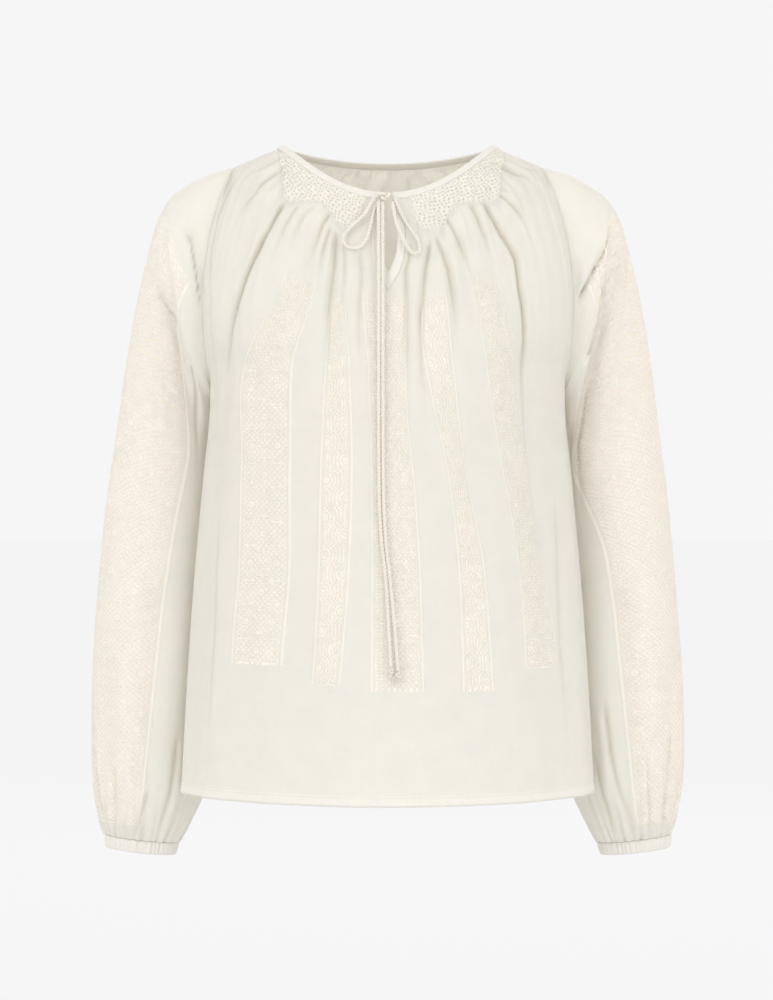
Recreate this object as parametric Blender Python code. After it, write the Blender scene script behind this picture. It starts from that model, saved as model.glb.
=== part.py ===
"""A peasant blouse of ivory cotton voile: front, back, two full sleeves, neck binding, slit facing, cuffs and tie.

It keeps the hollow shape that it has on its wearer, with no one in it. +Z is up, the front faces -Y, and the
origin is at the middle of the neck opening, level with the sides of the neck, where the wearer carries it.
Every wall of cloth is a sheet of points worked out from the tables below, with its thickness laid inwards.
"""

import math

import bmesh
import bpy
from mathutils import Matrix, Vector

# ---- Driving sizes, in metres ----
WALL = 0.0018  # cloth, with the fullness of its gathers
BAND_WALL = 0.0024  # folded cloth of the binding and the cuffs
FACING_WALL = 0.001
SEAM = 0.0003  # gap between pieces that are sewn together
LIFT = 0.0005  # gap under the facing, which lies on the front

NECK_SIDE = Vector((0.1075, 0.0, -0.0025))  # where the shoulder seam meets the neck binding
SHOULDER = Vector((0.149, 0.003, -0.0195))  # top of the armhole
UNDERARM = Vector((0.170, 0.022, -0.235))  # bottom of the armhole
ARMHOLE_DEPTH = 0.058  # half of the armhole, front to back
ARMHOLE_SWELL = 0.0158  # how far the armhole bows out at its middle
HEM_Z = -0.626

BAND_SIDE = Vector((0.101, 0.0, 0.001))  # top edge of the neck binding, at its side, front and back
BAND_FRONT = Vector((0.0, -0.085, -0.053))
BAND_BACK = Vector((0.0, 0.065, -0.008))
SLIT_REACH = 0.03  # how far beside the slit the cloth is pushed aside
FACING_COLUMN = 0.042  # how far the facing reaches from the slit, as a share of the way to the side

CUFF_HEIGHT = 0.0125
CUFF_TAPER = 0.95  # its lower edge against its upper one

CORD = 0.0036  # the tie's twisted cord, across
KNOT_SIZE = (0.0150, 0.0085, 0.0100)
END_KNOT_SIZE = (0.0066, 0.0066, 0.0100)

# The edge number runs 0 to 1 along the shoulder seam from the neck, 1 to 2 round half of the armhole, and
# 2 to 3 down the side seam. A section of the body joins the two sides at one edge number.
BODY_EDGES = [0, 0.25, 0.6] + [1 + k / 9 for k in range(10)] + [2.11, 2.24, 2.4, 2.56, 2.72, 2.87, 3]
SLIT_ROW = 5  # the section that the slit ends on
FACING_ROW = 6  # the section that the facing's point reaches

# Middle of the front and of the back at each section. rise shapes how fast the section falls to its middle,
# and sharp is 1 for an ellipse and more for a section with sharper sides.
BODY_SECTIONS = (
    # edge, front_y, front_z, front_rise, back_y, back_z, back_rise, sharp
    (0.000, -0.0905, -0.0595, 2.10, 0.0705, -0.0135, 2.00, 1.00),
    (0.500, -0.0965, -0.0800, 1.90, 0.0780, -0.0290, 1.90, 1.00),
    (1.000, -0.1020, -0.1030, 1.70, 0.0850, -0.0520, 1.70, 1.00),
    (1.222, -0.1065, -0.1290, 1.55, 0.0915, -0.0850, 1.55, 1.00),
    (1.333, -0.1090, -0.1465, 1.45, 0.0945, -0.1050, 1.45, 1.01),
    (1.667, -0.1165, -0.1970, 1.20, 0.1020, -0.1720, 1.20, 1.05),
    (2.000, -0.1220, -0.2400, 1.00, 0.1070, -0.2380, 1.00, 1.10),
    (2.300, -0.1265, -0.3523, 1.00, 0.1110, -0.3523, 1.00, 1.24),
    (2.650, -0.1290, -0.4892, 1.00, 0.1145, -0.4892, 1.00, 1.36),
    (3.000, -0.1310, -0.6260, 1.00, 0.1180, -0.6260, 1.00, 1.44),
)

SIDE_SEAM = (
    # edge, x, y
    (2.00, 0.1700, 0.0220),
    (2.15, 0.1762, 0.0120),
    (2.30, 0.1815, 0.0070),
    (2.50, 0.1882, 0.0030),
    (2.75, 0.1948, 0.0010),
    (3.00, 0.2000, 0.0000),
)

# Half of the slit's width down the front.
SLIT = (
    # edge, half_width
    (0.000, 0.0040),
    (0.250, 0.0072),
    (0.600, 0.0086),
    (1.000, 0.0080),
    (1.111, 0.0058),
    (1.222, 0.0000),
)

# Rings of the right-hand sleeve, from the armhole to the cuff: the outer and the inner point of each ring,
# half of its depth front to back, and how far its middle bows out.
SLEEVE_SECTIONS = (
    # outer x, y, z, inner x, y, z, half_depth, swell
    (0.1490, 0.003, -0.0195, 0.1700, 0.0220, -0.2350, 0.0580, 0.0158),
    (0.1768, 0.005, -0.0274, 0.1738, 0.0260, -0.2400, 0.0605, 0.0165),
    (0.2007, 0.010, -0.0399, 0.1757, 0.0310, -0.2450, 0.0615, 0.0150),
    (0.2126, 0.014, -0.0485, 0.1758, 0.0370, -0.2495, 0.0615, 0.0130),
    (0.2250, 0.020, -0.0680, 0.1750, 0.0430, -0.2550, 0.0610, 0.0100),
    (0.2338, 0.027, -0.0956, 0.1733, 0.0500, -0.2625, 0.0605, 0.0070),
    (0.2446, 0.035, -0.1374, 0.1712, 0.0570, -0.2735, 0.0600, 0.0040),
    (0.2530, 0.043, -0.1794, 0.1695, 0.0630, -0.2880, 0.0590, 0.0020),
    (0.2607, 0.050, -0.2259, 0.1680, 0.0680, -0.3070, 0.0575, 0.0000),
    (0.2674, 0.056, -0.2757, 0.1670, 0.0710, -0.3330, 0.0565, 0.0000),
    (0.2763, 0.060, -0.3359, 0.1665, 0.0725, -0.3680, 0.0560, 0.0000),
    (0.2829, 0.062, -0.3972, 0.1665, 0.0725, -0.4140, 0.0560, 0.0000),
    (0.2886, 0.063, -0.4587, 0.1680, 0.0720, -0.4660, 0.0565, 0.0000),
    (0.2927, 0.063, -0.5201, 0.1695, 0.0680, -0.5220, 0.0580, 0.0000),
    (0.2937, 0.063, -0.5815, 0.1740, 0.0680, -0.5800, 0.0560, 0.0000),
    (0.2916, 0.062, -0.6233, 0.1800, 0.0670, -0.6260, 0.0510, 0.0000),
    (0.2857, 0.060, -0.6548, 0.1945, 0.0640, -0.6580, 0.0400, 0.0000),
    (0.2797, 0.059, -0.6723, 0.2075, 0.0600, -0.6808, 0.0260, 0.0000),
)


def between(low, high, at):
    """How far at is from low to high, eased at both ends, from 0 to 1."""
    share = min(max((at - low) / (high - low), 0.0), 1.0)
    return share * share * (3 - 2 * share)


def read(table, at):
    """The columns of a table at a value of its first column, on a smooth curve through its rows."""
    last = len(table) - 1
    row = next((k for k in range(last) if at <= table[k + 1][0]), last - 1)
    before, low, high, after = (table[min(max(k, 0), last)] for k in (row - 1, row, row + 1, row + 2))
    step = high[0] - low[0]
    share = (at - low[0]) / step

    def column(k):
        start = (high[k] - before[k]) / max(high[0] - before[0], 1e-9) * step
        finish = (after[k] - low[k]) / max(after[0] - low[0], 1e-9) * step
        bend = 2 * (low[k] - high[k]) + start + finish
        sag = 3 * (high[k] - low[k]) - 2 * start - finish
        return ((bend * share + sag) * share + start) * share + low[k]

    return [column(k) for k in range(1, len(low))]


def ring_point(outer, inner, half_depth, swell, angle):
    """A point of a ring of the sleeve: angle 0 is its outer point, half pi its front and pi its inner point."""
    point = (outer + inner) / 2 + (outer - inner) / 2 * math.cos(angle)
    point.y -= half_depth * math.sin(angle)
    point.x += swell * math.sin(angle) ** 2
    return point


def edge_point(edge, side):
    """A point on the seam round the right-hand half of the front (side -1) or the back (side 1)."""
    if edge <= 1:
        return NECK_SIDE.lerp(SHOULDER, edge)
    if edge <= 2:
        return ring_point(SHOULDER, UNDERARM, ARMHOLE_DEPTH, ARMHOLE_SWELL, side * (1 - edge) * math.pi)
    x, y = read(SIDE_SEAM, edge)
    return Vector((x, y, UNDERARM.z + (HEM_Z - UNDERARM.z) * (edge - 2)))


def body_point(across, edge, side):
    """A point of the front or the back, with no folds: across is -1 at one side seam and 1 at the other."""
    front_y, front_z, front_rise, back_y, back_z, back_rise, sharp = read(BODY_SECTIONS, edge)
    middle_y, middle_z, rise = (front_y, front_z, front_rise) if side < 0 else (back_y, back_z, back_rise)
    corner = edge_point(edge, side)
    turn = across * math.pi / 2
    deep, fall = (max(math.cos(turn), 0.0) ** power for power in (sharp, rise))
    y, z = corner.y + (middle_y - corner.y) * deep, corner.z + (middle_z - corner.z) * fall
    return Vector((corner.x * math.sin(turn), y, z))


# The largest folds, as soft troughs that run out from the gathered neck. across is where each starts and ends,
# -1 and 1 being the side seams, edge is where it starts and ends, and depth and width are its size.
FRONT_FOLDS = (
    # across_start, across_end, edge_start, edge_end, depth, width
    (-0.63, -0.76, 0.10, 1.75, 0.0032, 0.050),
    (-0.88, -0.82, 1.02, 2.30, 0.0032, 0.048),
    (-0.46, -0.80, 0.60, 2.45, 0.0062, 0.052),
    (-0.27, -0.32, 0.45, 1.90, 0.0042, 0.034),
    (-0.20, -0.22, 0.85, 2.20, 0.0038, 0.030),
    (0.16, 0.12, 0.90, 2.40, 0.0036, 0.030),
    (0.19, 0.25, 0.90, 2.20, 0.0042, 0.030),
    (0.26, 0.34, 0.55, 1.90, 0.0036, 0.032),
    (0.40, 0.43, 0.60, 1.80, 0.0042, 0.036),
    (0.44, 0.60, 0.70, 2.70, 0.0060, 0.052),
    (0.64, 0.82, 0.10, 1.60, 0.0032, 0.050),
)
BACK_FOLDS = (
    # across_start, across_end, edge_start, edge_end, depth, width
    (-0.70, -0.80, 0.15, 2.10, 0.0040, 0.060),
    (-0.46, -0.58, 0.10, 2.50, 0.0070, 0.060),
    (-0.24, -0.27, 0.20, 2.00, 0.0050, 0.055),
    (-0.02, -0.04, 0.15, 2.30, 0.0050, 0.055),
    (0.22, 0.27, 0.10, 2.60, 0.0060, 0.055),
    (0.47, 0.56, 0.20, 2.10, 0.0060, 0.055),
    (0.69, 0.80, 0.10, 2.40, 0.0040, 0.060),
)
# A sleeve's folds run down its rings. turn is the share of the way round: 0 is its outer side, 0.25 its front
# and 0.5 its inner side.
SLEEVE_FOLDS = (
    # turn_start, turn_end, ring_start, ring_end, depth, width
    (0.22, 0.40, 1.0, 9.0, 0.0060, 0.045),
    (0.10, 0.16, 12.0, 17.0, 0.0035, 0.040),
    (0.26, 0.24, 11.0, 17.0, 0.0045, 0.040),
    (0.41, 0.38, 10.5, 17.0, 0.0045, 0.040),
    (0.62, 0.60, 10.0, 17.0, 0.0045, 0.040),
    (0.78, 0.75, 2.0, 10.0, 0.0050, 0.050),
    (0.88, 0.84, 11.0, 17.0, 0.0040, 0.040),
)
SLEEVE_SIDES = 18

# The tie: each loop of the bow and each hanging end, from the knot at the neck outwards.
KNOT_CENTRE = Vector((-0.0035, -0.0964, -0.0575))
LOOP_LEFT = (
    (-0.0130, -0.0966, -0.0585),
    (-0.0215, -0.1010, -0.0743),
    (-0.0374, -0.1030, -0.0902),
    (-0.0420, -0.1035, -0.0977),
    (-0.0392, -0.1045, -0.1043),
    (-0.0336, -0.1055, -0.1070),
    (-0.0262, -0.1060, -0.1061),
    (-0.0205, -0.1058, -0.0995),
    (-0.0177, -0.1045, -0.0921),
    (-0.0140, -0.1000, -0.0760),
    (-0.0115, -0.0963, -0.0655),
)
LOOP_RIGHT = (
    (0.0040, -0.0985, -0.0640),
    (0.0084, -0.1068, -0.0856),
    (0.0149, -0.1090, -0.1005),
    (0.0196, -0.1090, -0.1089),
    (0.0243, -0.1085, -0.1122),
    (0.0294, -0.1075, -0.1098),
    (0.0285, -0.1055, -0.1015),
    (0.0224, -0.1035, -0.0911),
    (0.0140, -0.0995, -0.0781),
    (0.0098, -0.0975, -0.0690),
    (0.0066, -0.0964, -0.0600),
)
END_LEFT = (
    (-0.0089, -0.0985, -0.0630),
    (-0.0090, -0.1030, -0.0720),
    (-0.0088, -0.1065, -0.0900),
    (-0.0087, -0.1130, -0.1290),
    (-0.0087, -0.1215, -0.1970),
    (-0.0087, -0.1265, -0.2500),
    (-0.0081, -0.1300, -0.3420),
    (-0.0060, -0.1310, -0.3800),
    (-0.0021, -0.1318, -0.4163),
    (0.0006, -0.1328, -0.4624),
    (0.0026, -0.1334, -0.4960),
)
END_RIGHT = (
    (-0.0048, -0.0985, -0.0640),
    (-0.0050, -0.1030, -0.0720),
    (-0.0049, -0.1065, -0.0900),
    (-0.0048, -0.1130, -0.1290),
    (-0.0048, -0.1215, -0.1970),
    (-0.0048, -0.1265, -0.2500),
    (-0.0042, -0.1300, -0.3420),
    (-0.0021, -0.1310, -0.3800),
    (0.0018, -0.1318, -0.4163),
    (0.0062, -0.1328, -0.4624),
    (0.0090, -0.1334, -0.4996),
)
LOOP_POINTS = 22
END_POINTS = 56


# ---- Sheets of points ----
def fold_depth(folds, place, along):
    """How far the folds take a point inwards. place is read across the cloth, and along is read down it."""
    depth = 0.0
    for place_start, place_end, start, end, deepest, width in folds:
        share = min(max((along - start) / (end - start), 0.0), 1.0)
        middle = place_start + (place_end - place_start) * share
        fade = between(0.0, 0.15, share) * between(0.0, 0.5, 1 - share)
        depth += deepest * fade * math.exp(-(((place - middle) / width) ** 2))
    return depth


def body_folded(across, edge, side):
    """A point on the outside of the front (side -1) or the back (side 1), with its largest folds."""
    small = 0.002
    at = min(max(edge, small), 3 - small)
    aside = body_point(across + small, at, side) - body_point(across - small, at, side)
    down = body_point(across, at + small, side) - body_point(across, at - small, side)
    inwards = aside.cross(down).normalized() * -side
    folds = FRONT_FOLDS if side < 0 else BACK_FOLDS
    return body_point(across, edge, side) + inwards * fold_depth(folds, across, edge)


def spread(point, edge, sign):
    """A point of the front, moved aside by the slit. sign is the side of the slit that it is on."""
    if edge >= SLIT[-1][0]:
        return point
    aside = read(SLIT, edge)[0] * math.exp(-abs(point.x) / SLIT_REACH)
    return point + Vector((sign * aside, 0, 0))


def sleeve_point(turn, ring):
    """A point on the outside of the right-hand sleeve, with its largest folds."""
    x, y, z, inner_x, inner_y, inner_z, half_depth, swell = read(SLEEVE_ROWS, ring)
    outer, inner = Vector((x, y, z)), Vector((inner_x, inner_y, inner_z))
    point = ring_point(outer, inner, half_depth, swell, turn * 2 * math.pi)
    inwards = ((outer + inner) / 2 - point).normalized()
    return point + inwards * fold_depth(SLEEVE_FOLDS, turn, ring)


def band_point(across, side):
    """A point on the top edge of the neck binding."""
    middle, rise = (BAND_FRONT, 2.1) if side < 0 else (BAND_BACK, 2.0)
    turn = across * math.pi / 2
    height = BAND_SIDE.z + (middle.z - BAND_SIDE.z) * max(math.cos(turn), 0.0) ** rise
    return Vector((BAND_SIDE.x * math.sin(turn), middle.y * math.cos(turn), height))


def columns(count, first):
    """Places across a panel from side seam to side seam: the middle, and one at first on each side of it."""
    half = [round(first + (1 - first) * k / (count - 1), 6) for k in range(count)]
    return [-place for place in reversed(half)] + [0.0] + half


SLEEVE_ROWS = [(ring, *row) for ring, row in enumerate(SLEEVE_SECTIONS)]
LAST_RING = len(SLEEVE_ROWS) - 1
FRONT_COLUMNS = columns(20, FACING_COLUMN)
BACK_COLUMNS = columns(12, 1 / 12)
MIDDLE = FRONT_COLUMNS.index(0.0)


def inside_of(points, faces):
    """For each point of a sheet, the way into the garment, square to the cloth."""
    bm = bmesh.new()
    vertices = [bm.verts.new(point) for point in points]
    for face in faces:
        bm.faces.new([vertices[i] for i in face])
    bm.normal_update()
    ways = [-vertex.normal for vertex in vertices]
    bm.free()
    return ways


def tube_faces(rings, sides):
    """The faces of a tube of points, ring after ring."""
    return [
        (row * sides + k, row * sides + (k + 1) % sides, (row + 1) * sides + (k + 1) % sides, (row + 1) * sides + k)
        for row in range(rings - 1)
        for k in range(sides)
    ]


def neck_route():
    """The places round the neck seam, from one side of the slit to the other: across, side, side of the slit."""
    route = [(across, -1, 1) for across in FRONT_COLUMNS if across >= 0]
    route += [(across, 1, 1) for across in reversed(BACK_COLUMNS[1:-1])]
    return route + [(across, -1, -1) for across in FRONT_COLUMNS if across <= 0]


def neck_sheet():
    """Three rows of points round the neck, which are just below its seam, on it and at the top of the binding,
    and the way in at each."""
    points = []
    for across, side, sign in neck_route():
        below, seam = (body_point(across, edge, side) for edge in (BODY_EDGES[1], BODY_EDGES[0]))
        for point in (below, seam, band_point(across, side)):
            points.append(spread(point, 0.0, sign) if side < 0 else point)
    faces = [
        (3 * k + low, 3 * k + low + 3, 3 * k + low + 4, 3 * k + low + 1)
        for k in range(len(points) // 3 - 1)
        for low in (0, 1)
    ]
    return points, inside_of(points, faces)


def neck_ways():
    """The way in at each place on the neck seam, which the panels and the binding share."""
    ways = dict(zip(neck_route(), neck_sheet()[1][1::3]))
    for sign in (-1, 1):
        ways[sign, 1, 1] = ways[sign, -1, sign]
    return ways


def lean_at_seams(ways, places, side):
    """Turns the thickness at a panel's edges, so that it meets its neighbours face to face at their seams."""
    at_neck = neck_ways()
    for way, (edge, across, sign) in zip(ways, places):
        if edge == 0:
            way[:] = at_neck[across, side, sign]
        if abs(across) == 1:
            if edge <= 1 or edge >= 2:
                way.y = 0
            if edge >= 1:
                way.x = -across * max(abs(way.x), 0.2)
            way.normalize()


def front_sheet():
    """The front's points, faces and ways in, and the number of the point at each row, column and side of the slit."""
    points, places, number = [], [], {}
    for row, edge in enumerate(BODY_EDGES):
        for column, across in enumerate(FRONT_COLUMNS):
            in_slit = column == MIDDLE and row < SLIT_ROW
            for sign in (-1, 1) if in_slit else (1 if across >= 0 else -1,):
                for near in (sign,) if in_slit else (-1, 1):
                    number[row, column, near] = len(points)
                places.append((edge, across, sign))
                points.append(spread(body_folded(across, edge, -1), edge, sign) - Vector((0, SEAM / 2, 0)))
    faces = []
    for row in range(len(BODY_EDGES) - 1):
        for column in range(len(FRONT_COLUMNS) - 1):
            near = -1 if column < MIDDLE else 1
            corners = ((row, column), (row + 1, column), (row + 1, column + 1), (row, column + 1))
            faces.append([number[*corner, near] for corner in corners])
    ways = inside_of(points, faces)
    lean_at_seams(ways, places, -1)
    return points, faces, ways, number


# ---- Pieces ----
def coloured(name, colour, roughness):
    """A plain cloth material, with no metal in it."""
    material = bpy.data.materials.new(name)
    material.use_nodes = True
    shader = material.node_tree.nodes["Principled BSDF"]
    shader.inputs["Base Color"].default_value = (*colour, 1)
    shader.inputs["Roughness"].default_value = roughness
    shader.inputs["Metallic"].default_value = 0
    return material


def finish(name, bm, material):
    """Puts a finished mesh in the scene as a named object, shaded smooth."""
    mesh = bpy.data.meshes.new(name)
    bm.to_mesh(mesh)
    bm.free()
    mesh.shade_smooth()
    mesh.materials.append(material)
    bpy.context.scene.collection.objects.link(bpy.data.objects.new(name, mesh))


def wall(name, points, faces, ways, thick, material):
    """A closed wall of cloth: its outer layer is the given sheet, and ways lead from it to the inner layer."""
    bm = bmesh.new()
    outer = [bm.verts.new(point) for point in points]
    for face in faces:
        bm.faces.new([outer[i] for i in face])
    rim = [tuple(edge.verts) for edge in bm.edges if edge.is_boundary]
    inner = [bm.verts.new(point + way * thick) for point, way in zip(points, ways)]
    for face in faces:
        bm.faces.new([inner[i] for i in reversed(face)])
    pair = dict(zip(outer, inner))
    for a, b in rim:
        bm.faces.new((a, b, pair[b], pair[a]))
    bmesh.ops.recalc_face_normals(bm, faces=bm.faces)
    finish(name, bm, material)


def back_body(material):
    """The back, one wall."""
    wide = len(BACK_COLUMNS)
    places = [(edge, across, 1) for edge in BODY_EDGES for across in BACK_COLUMNS]
    points = [body_folded(across, edge, 1) + Vector((0, SEAM / 2, 0)) for edge, across, _ in places]
    faces = [
        (row * wide + k, row * wide + k + 1, (row + 1) * wide + k + 1, (row + 1) * wide + k)
        for row in range(len(BODY_EDGES) - 1)
        for k in range(wide - 1)
    ]
    ways = inside_of(points, faces)
    lean_at_seams(ways, places, 1)
    wall("back_body", points, faces, ways, WALL, material)


def slit_facing(sheet, material):
    """The narrow facing round the slit, down to its point. It lies on the front and is made from its points."""
    front_points, _, front_ways, number = sheet
    rows = range(SLIT_ROW + 1)
    left, slit_left = ([number[row, column, -1] for row in rows] for column in (MIDDLE - 1, MIDDLE))
    slit_right, right = ([number[row, column, 1] for row in rows] for column in (MIDDLE, MIDDLE + 1))
    tip = number[FACING_ROW, MIDDLE, 1]
    faces = [
        (a[row], a[row + 1], b[row + 1], b[row]) for a, b in ((left, slit_left), (slit_right, right)) for row in rows[:-1]
    ]
    faces += [(left[-1], tip, slit_left[-1]), (slit_right[-1], tip, right[-1])]
    used = sorted({at for face in faces for at in face})
    faces = [[used.index(at) for at in face] for face in faces]
    points = [front_points[at] - front_ways[at] * (LIFT + FACING_WALL) for at in used]
    wall("slit_facing", points, faces, [front_ways[at] for at in used], FACING_WALL, material)


def neck_binding(material):
    """The binding round the neck, open at the slit, which the tie runs through."""
    points, ways = neck_sheet()
    outside = (BAND_WALL - WALL) / 2
    edges, inwards = [], []
    for low, high, low_way, high_way in zip(points[1::3], points[2::3], ways[1::3], ways[2::3]):
        edges += [low + (high - low).normalized() * SEAM - low_way * outside, high - high_way * outside]
        inwards += [low_way, high_way]
    faces = [(2 * k, 2 * k + 2, 2 * k + 3, 2 * k + 1) for k in range(len(edges) // 2 - 1)]
    wall("neck_binding", edges, faces, inwards, BAND_WALL, material)


def tube(name, mirror, points, ways, thick, material):
    """A wall round a sleeve or a cuff, moved clear of the armhole. mirror is 1 at the right and -1 at the left."""
    faces = tube_faces(len(points) // SLEEVE_SIDES, SLEEVE_SIDES)
    points = [Vector((mirror * (point.x + SEAM), point.y, point.z)) for point in points]
    ways = [Vector((mirror * way.x, way.y, way.z)) for way in ways]
    wall(name, points, faces, ways, thick, material)


def sleeve(name, mirror, material):
    """A full sleeve, from the armhole to the gathers above its cuff."""
    points = [sleeve_point(k / SLEEVE_SIDES, ring) for ring in range(LAST_RING + 1) for k in range(SLEEVE_SIDES)]
    ways = inside_of(points, tube_faces(LAST_RING + 1, SLEEVE_SIDES))
    for way in ways[:SLEEVE_SIDES]:
        way.x = abs(way.x)
    tube(name, mirror, points, ways, WALL, material)


def cuff(name, mirror, material):
    """A narrow elastic cuff, hung on the sleeve's last ring."""
    ring = [sleeve_point(k / SLEEVE_SIDES, LAST_RING) for k in range(SLEEVE_SIDES)]
    middle = sum(ring, Vector()) / SLEEVE_SIDES
    down = (ring[0] - ring[SLEEVE_SIDES // 2]).cross(Vector((0, 1, 0))).normalized()
    down *= -math.copysign(1, down.z)
    points = [
        middle + (point - middle) * size + down * drop
        for drop, size in ((SEAM, 1.0), (SEAM + CUFF_HEIGHT, CUFF_TAPER))
        for point in ring
    ]
    ways = [(middle - point).normalized() for point in ring] * 2
    tube(name, mirror, points, ways, BAND_WALL, material)


def cord(name, route, count, material):
    """A round cord on a smooth curve through its route."""
    table, run = [(0.0, *route[0])], 0.0
    for start, end in zip(route, route[1:]):
        run += (Vector(end) - Vector(start)).length
        table.append((run, *end))
    curve = bpy.data.curves.new(name, "CURVE")
    curve.dimensions = "3D"
    curve.bevel_depth = CORD / 2
    curve.bevel_resolution = 2
    curve.use_fill_caps = True
    spline = curve.splines.new("POLY")
    spline.points.add(count - 1)
    for k, point in enumerate(spline.points):
        point.co = (*read(table, run * k / (count - 1)), 1)
    curve.materials.append(material)
    bpy.context.scene.collection.objects.link(bpy.data.objects.new(name, curve))


def knot(name, centre, size, material):
    """A tight knot, as a rounded solid."""
    bm = bmesh.new()
    shape = Matrix.Translation(centre) @ Matrix.Diagonal((*size, 1))
    bmesh.ops.create_uvsphere(bm, u_segments=12, v_segments=8, radius=0.5, matrix=shape)
    finish(name, bm, material)


def end_knot(name, route, material):
    """The knot at the foot of a hanging end of the tie."""
    foot, before = Vector(route[-1]), Vector(route[-2])
    down = (foot - before).normalized()
    knot(name, foot + down * (SEAM + END_KNOT_SIZE[2] / 2), END_KNOT_SIZE, material)


def main():
    for ob in list(bpy.data.objects):
        bpy.data.objects.remove(ob)
    voile = coloured("voile", (0.86, 0.83, 0.76), 0.85)
    folded = coloured("folded_voile", (0.85, 0.81, 0.73), 0.8)
    twist = coloured("twisted_cord", (0.88, 0.82, 0.72), 0.7)

    sheet = front_sheet()
    wall("front_body", *sheet[:3], WALL, voile)
    back_body(voile)
    slit_facing(sheet, folded)
    neck_binding(folded)
    for name, mirror in (("left", -1), ("right", 1)):
        sleeve(f"sleeve_{name}", mirror, voile)
        cuff(f"cuff_{name}", mirror, folded)
    knot("tie_knot", KNOT_CENTRE, KNOT_SIZE, twist)
    cord("tie_loop_left", LOOP_LEFT, LOOP_POINTS, twist)
    cord("tie_loop_right", LOOP_RIGHT, LOOP_POINTS, twist)
    cord("tie_end_left", END_LEFT, END_POINTS, twist)
    cord("tie_end_right", END_RIGHT, END_POINTS, twist)
    end_knot("end_knot_left", END_LEFT, twist)
    end_knot("end_knot_right", END_RIGHT, twist)


if __name__ == "__main__":
    main()
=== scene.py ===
"""A peasant blouse of ivory cotton voile with tone-on-tone embroidery, laid out as a Blender add-on.

Every piece stands on the outside of its CAD wall. A place on the front or the back is (edge, across): edge runs
0 to 1 along the shoulder seam, 1 to 2 round half of the armhole and 2 to 3 down the side seam, and across runs
from -1 at one side seam to 1 at the other. A place on a sleeve is (turn, ring): turn is 0 at its outer side, 0.25
at its front and 0.5 at its inner side, and ring runs from 0 at the armhole to 17 at the cuff.
"""

import math

import bmesh
import bpy
import numpy as np
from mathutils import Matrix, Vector


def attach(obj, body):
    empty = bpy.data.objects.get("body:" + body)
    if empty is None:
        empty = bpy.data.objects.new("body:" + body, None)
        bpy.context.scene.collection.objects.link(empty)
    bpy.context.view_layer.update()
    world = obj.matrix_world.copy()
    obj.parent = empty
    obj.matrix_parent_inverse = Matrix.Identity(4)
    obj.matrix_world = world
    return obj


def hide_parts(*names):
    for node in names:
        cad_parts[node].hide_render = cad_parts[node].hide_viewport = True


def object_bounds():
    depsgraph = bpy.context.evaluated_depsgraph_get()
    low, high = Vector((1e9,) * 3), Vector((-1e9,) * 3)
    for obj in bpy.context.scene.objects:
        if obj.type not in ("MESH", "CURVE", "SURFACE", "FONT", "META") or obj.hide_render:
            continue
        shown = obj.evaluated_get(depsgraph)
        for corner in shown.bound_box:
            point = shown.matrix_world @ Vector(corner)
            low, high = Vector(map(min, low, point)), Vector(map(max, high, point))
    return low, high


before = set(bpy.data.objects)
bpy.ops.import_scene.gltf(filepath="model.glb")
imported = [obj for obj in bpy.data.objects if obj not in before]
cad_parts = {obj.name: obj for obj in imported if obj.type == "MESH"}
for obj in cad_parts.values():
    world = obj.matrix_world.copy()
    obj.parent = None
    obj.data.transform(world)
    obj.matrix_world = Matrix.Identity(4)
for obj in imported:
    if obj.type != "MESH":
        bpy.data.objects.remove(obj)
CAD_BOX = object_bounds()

bl_info = {
    "name": "Peasant Blouse",
    "version": (1, 0, 0),
    "blender": (4, 5, 0),
    "location": "View3D > Sidebar > Blouse",
    "description": "Builds a smocked and embroidered peasant blouse round its CAD frame",
    "category": "Object",
}

# ---- Form of the cloth, as in the CAD, in metres ----
SEAM = 0.0003
FOLD_SHARE = 0.7  # of the CAD's largest folds that the cloth keeps
UNDERARM_FILL = 0.0050  # how far the sleeve's underside leans towards the body
NECK_SIDE = np.array((0.1075, 0.0, -0.0025))
SHOULDER = np.array((0.149, 0.003, -0.0195))
UNDERARM = np.array((0.170, 0.022, -0.235))
ARMHOLE_DEPTH = 0.058
ARMHOLE_SWELL = 0.0158
HEM_Z = -0.626
# The binding's top edge, at the side of the neck and in the middle of the front and of the back.
BAND_SIDE = (0.101, 0.0, 0.001)
BAND_FRONT = (0.0, -0.085, -0.053)
BAND_BACK = (0.0, 0.065, -0.008)
SLIT_REACH = 0.03
SLIT_FOOT = 1.222  # edge that the slit ends on
FACING_FOOT = 1.333  # edge that the facing's point reaches
FACING_WIDTH = 0.042  # of the way to the side
FACING_LIFT = 0.0011
FACING_THICK = 0.0008
CUFF_HEIGHT = 0.0125
CUFF_TAPER = 0.95
LAST_RING = 17
SLEEVE_CUT = 0.40  # metres round a sleeve before it is gathered
SLEEVE_PANEL_WIDE = 0.098
SLEEVE_MIDDLE = 0.15  # turn that the sleeve's cloth is measured from

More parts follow.
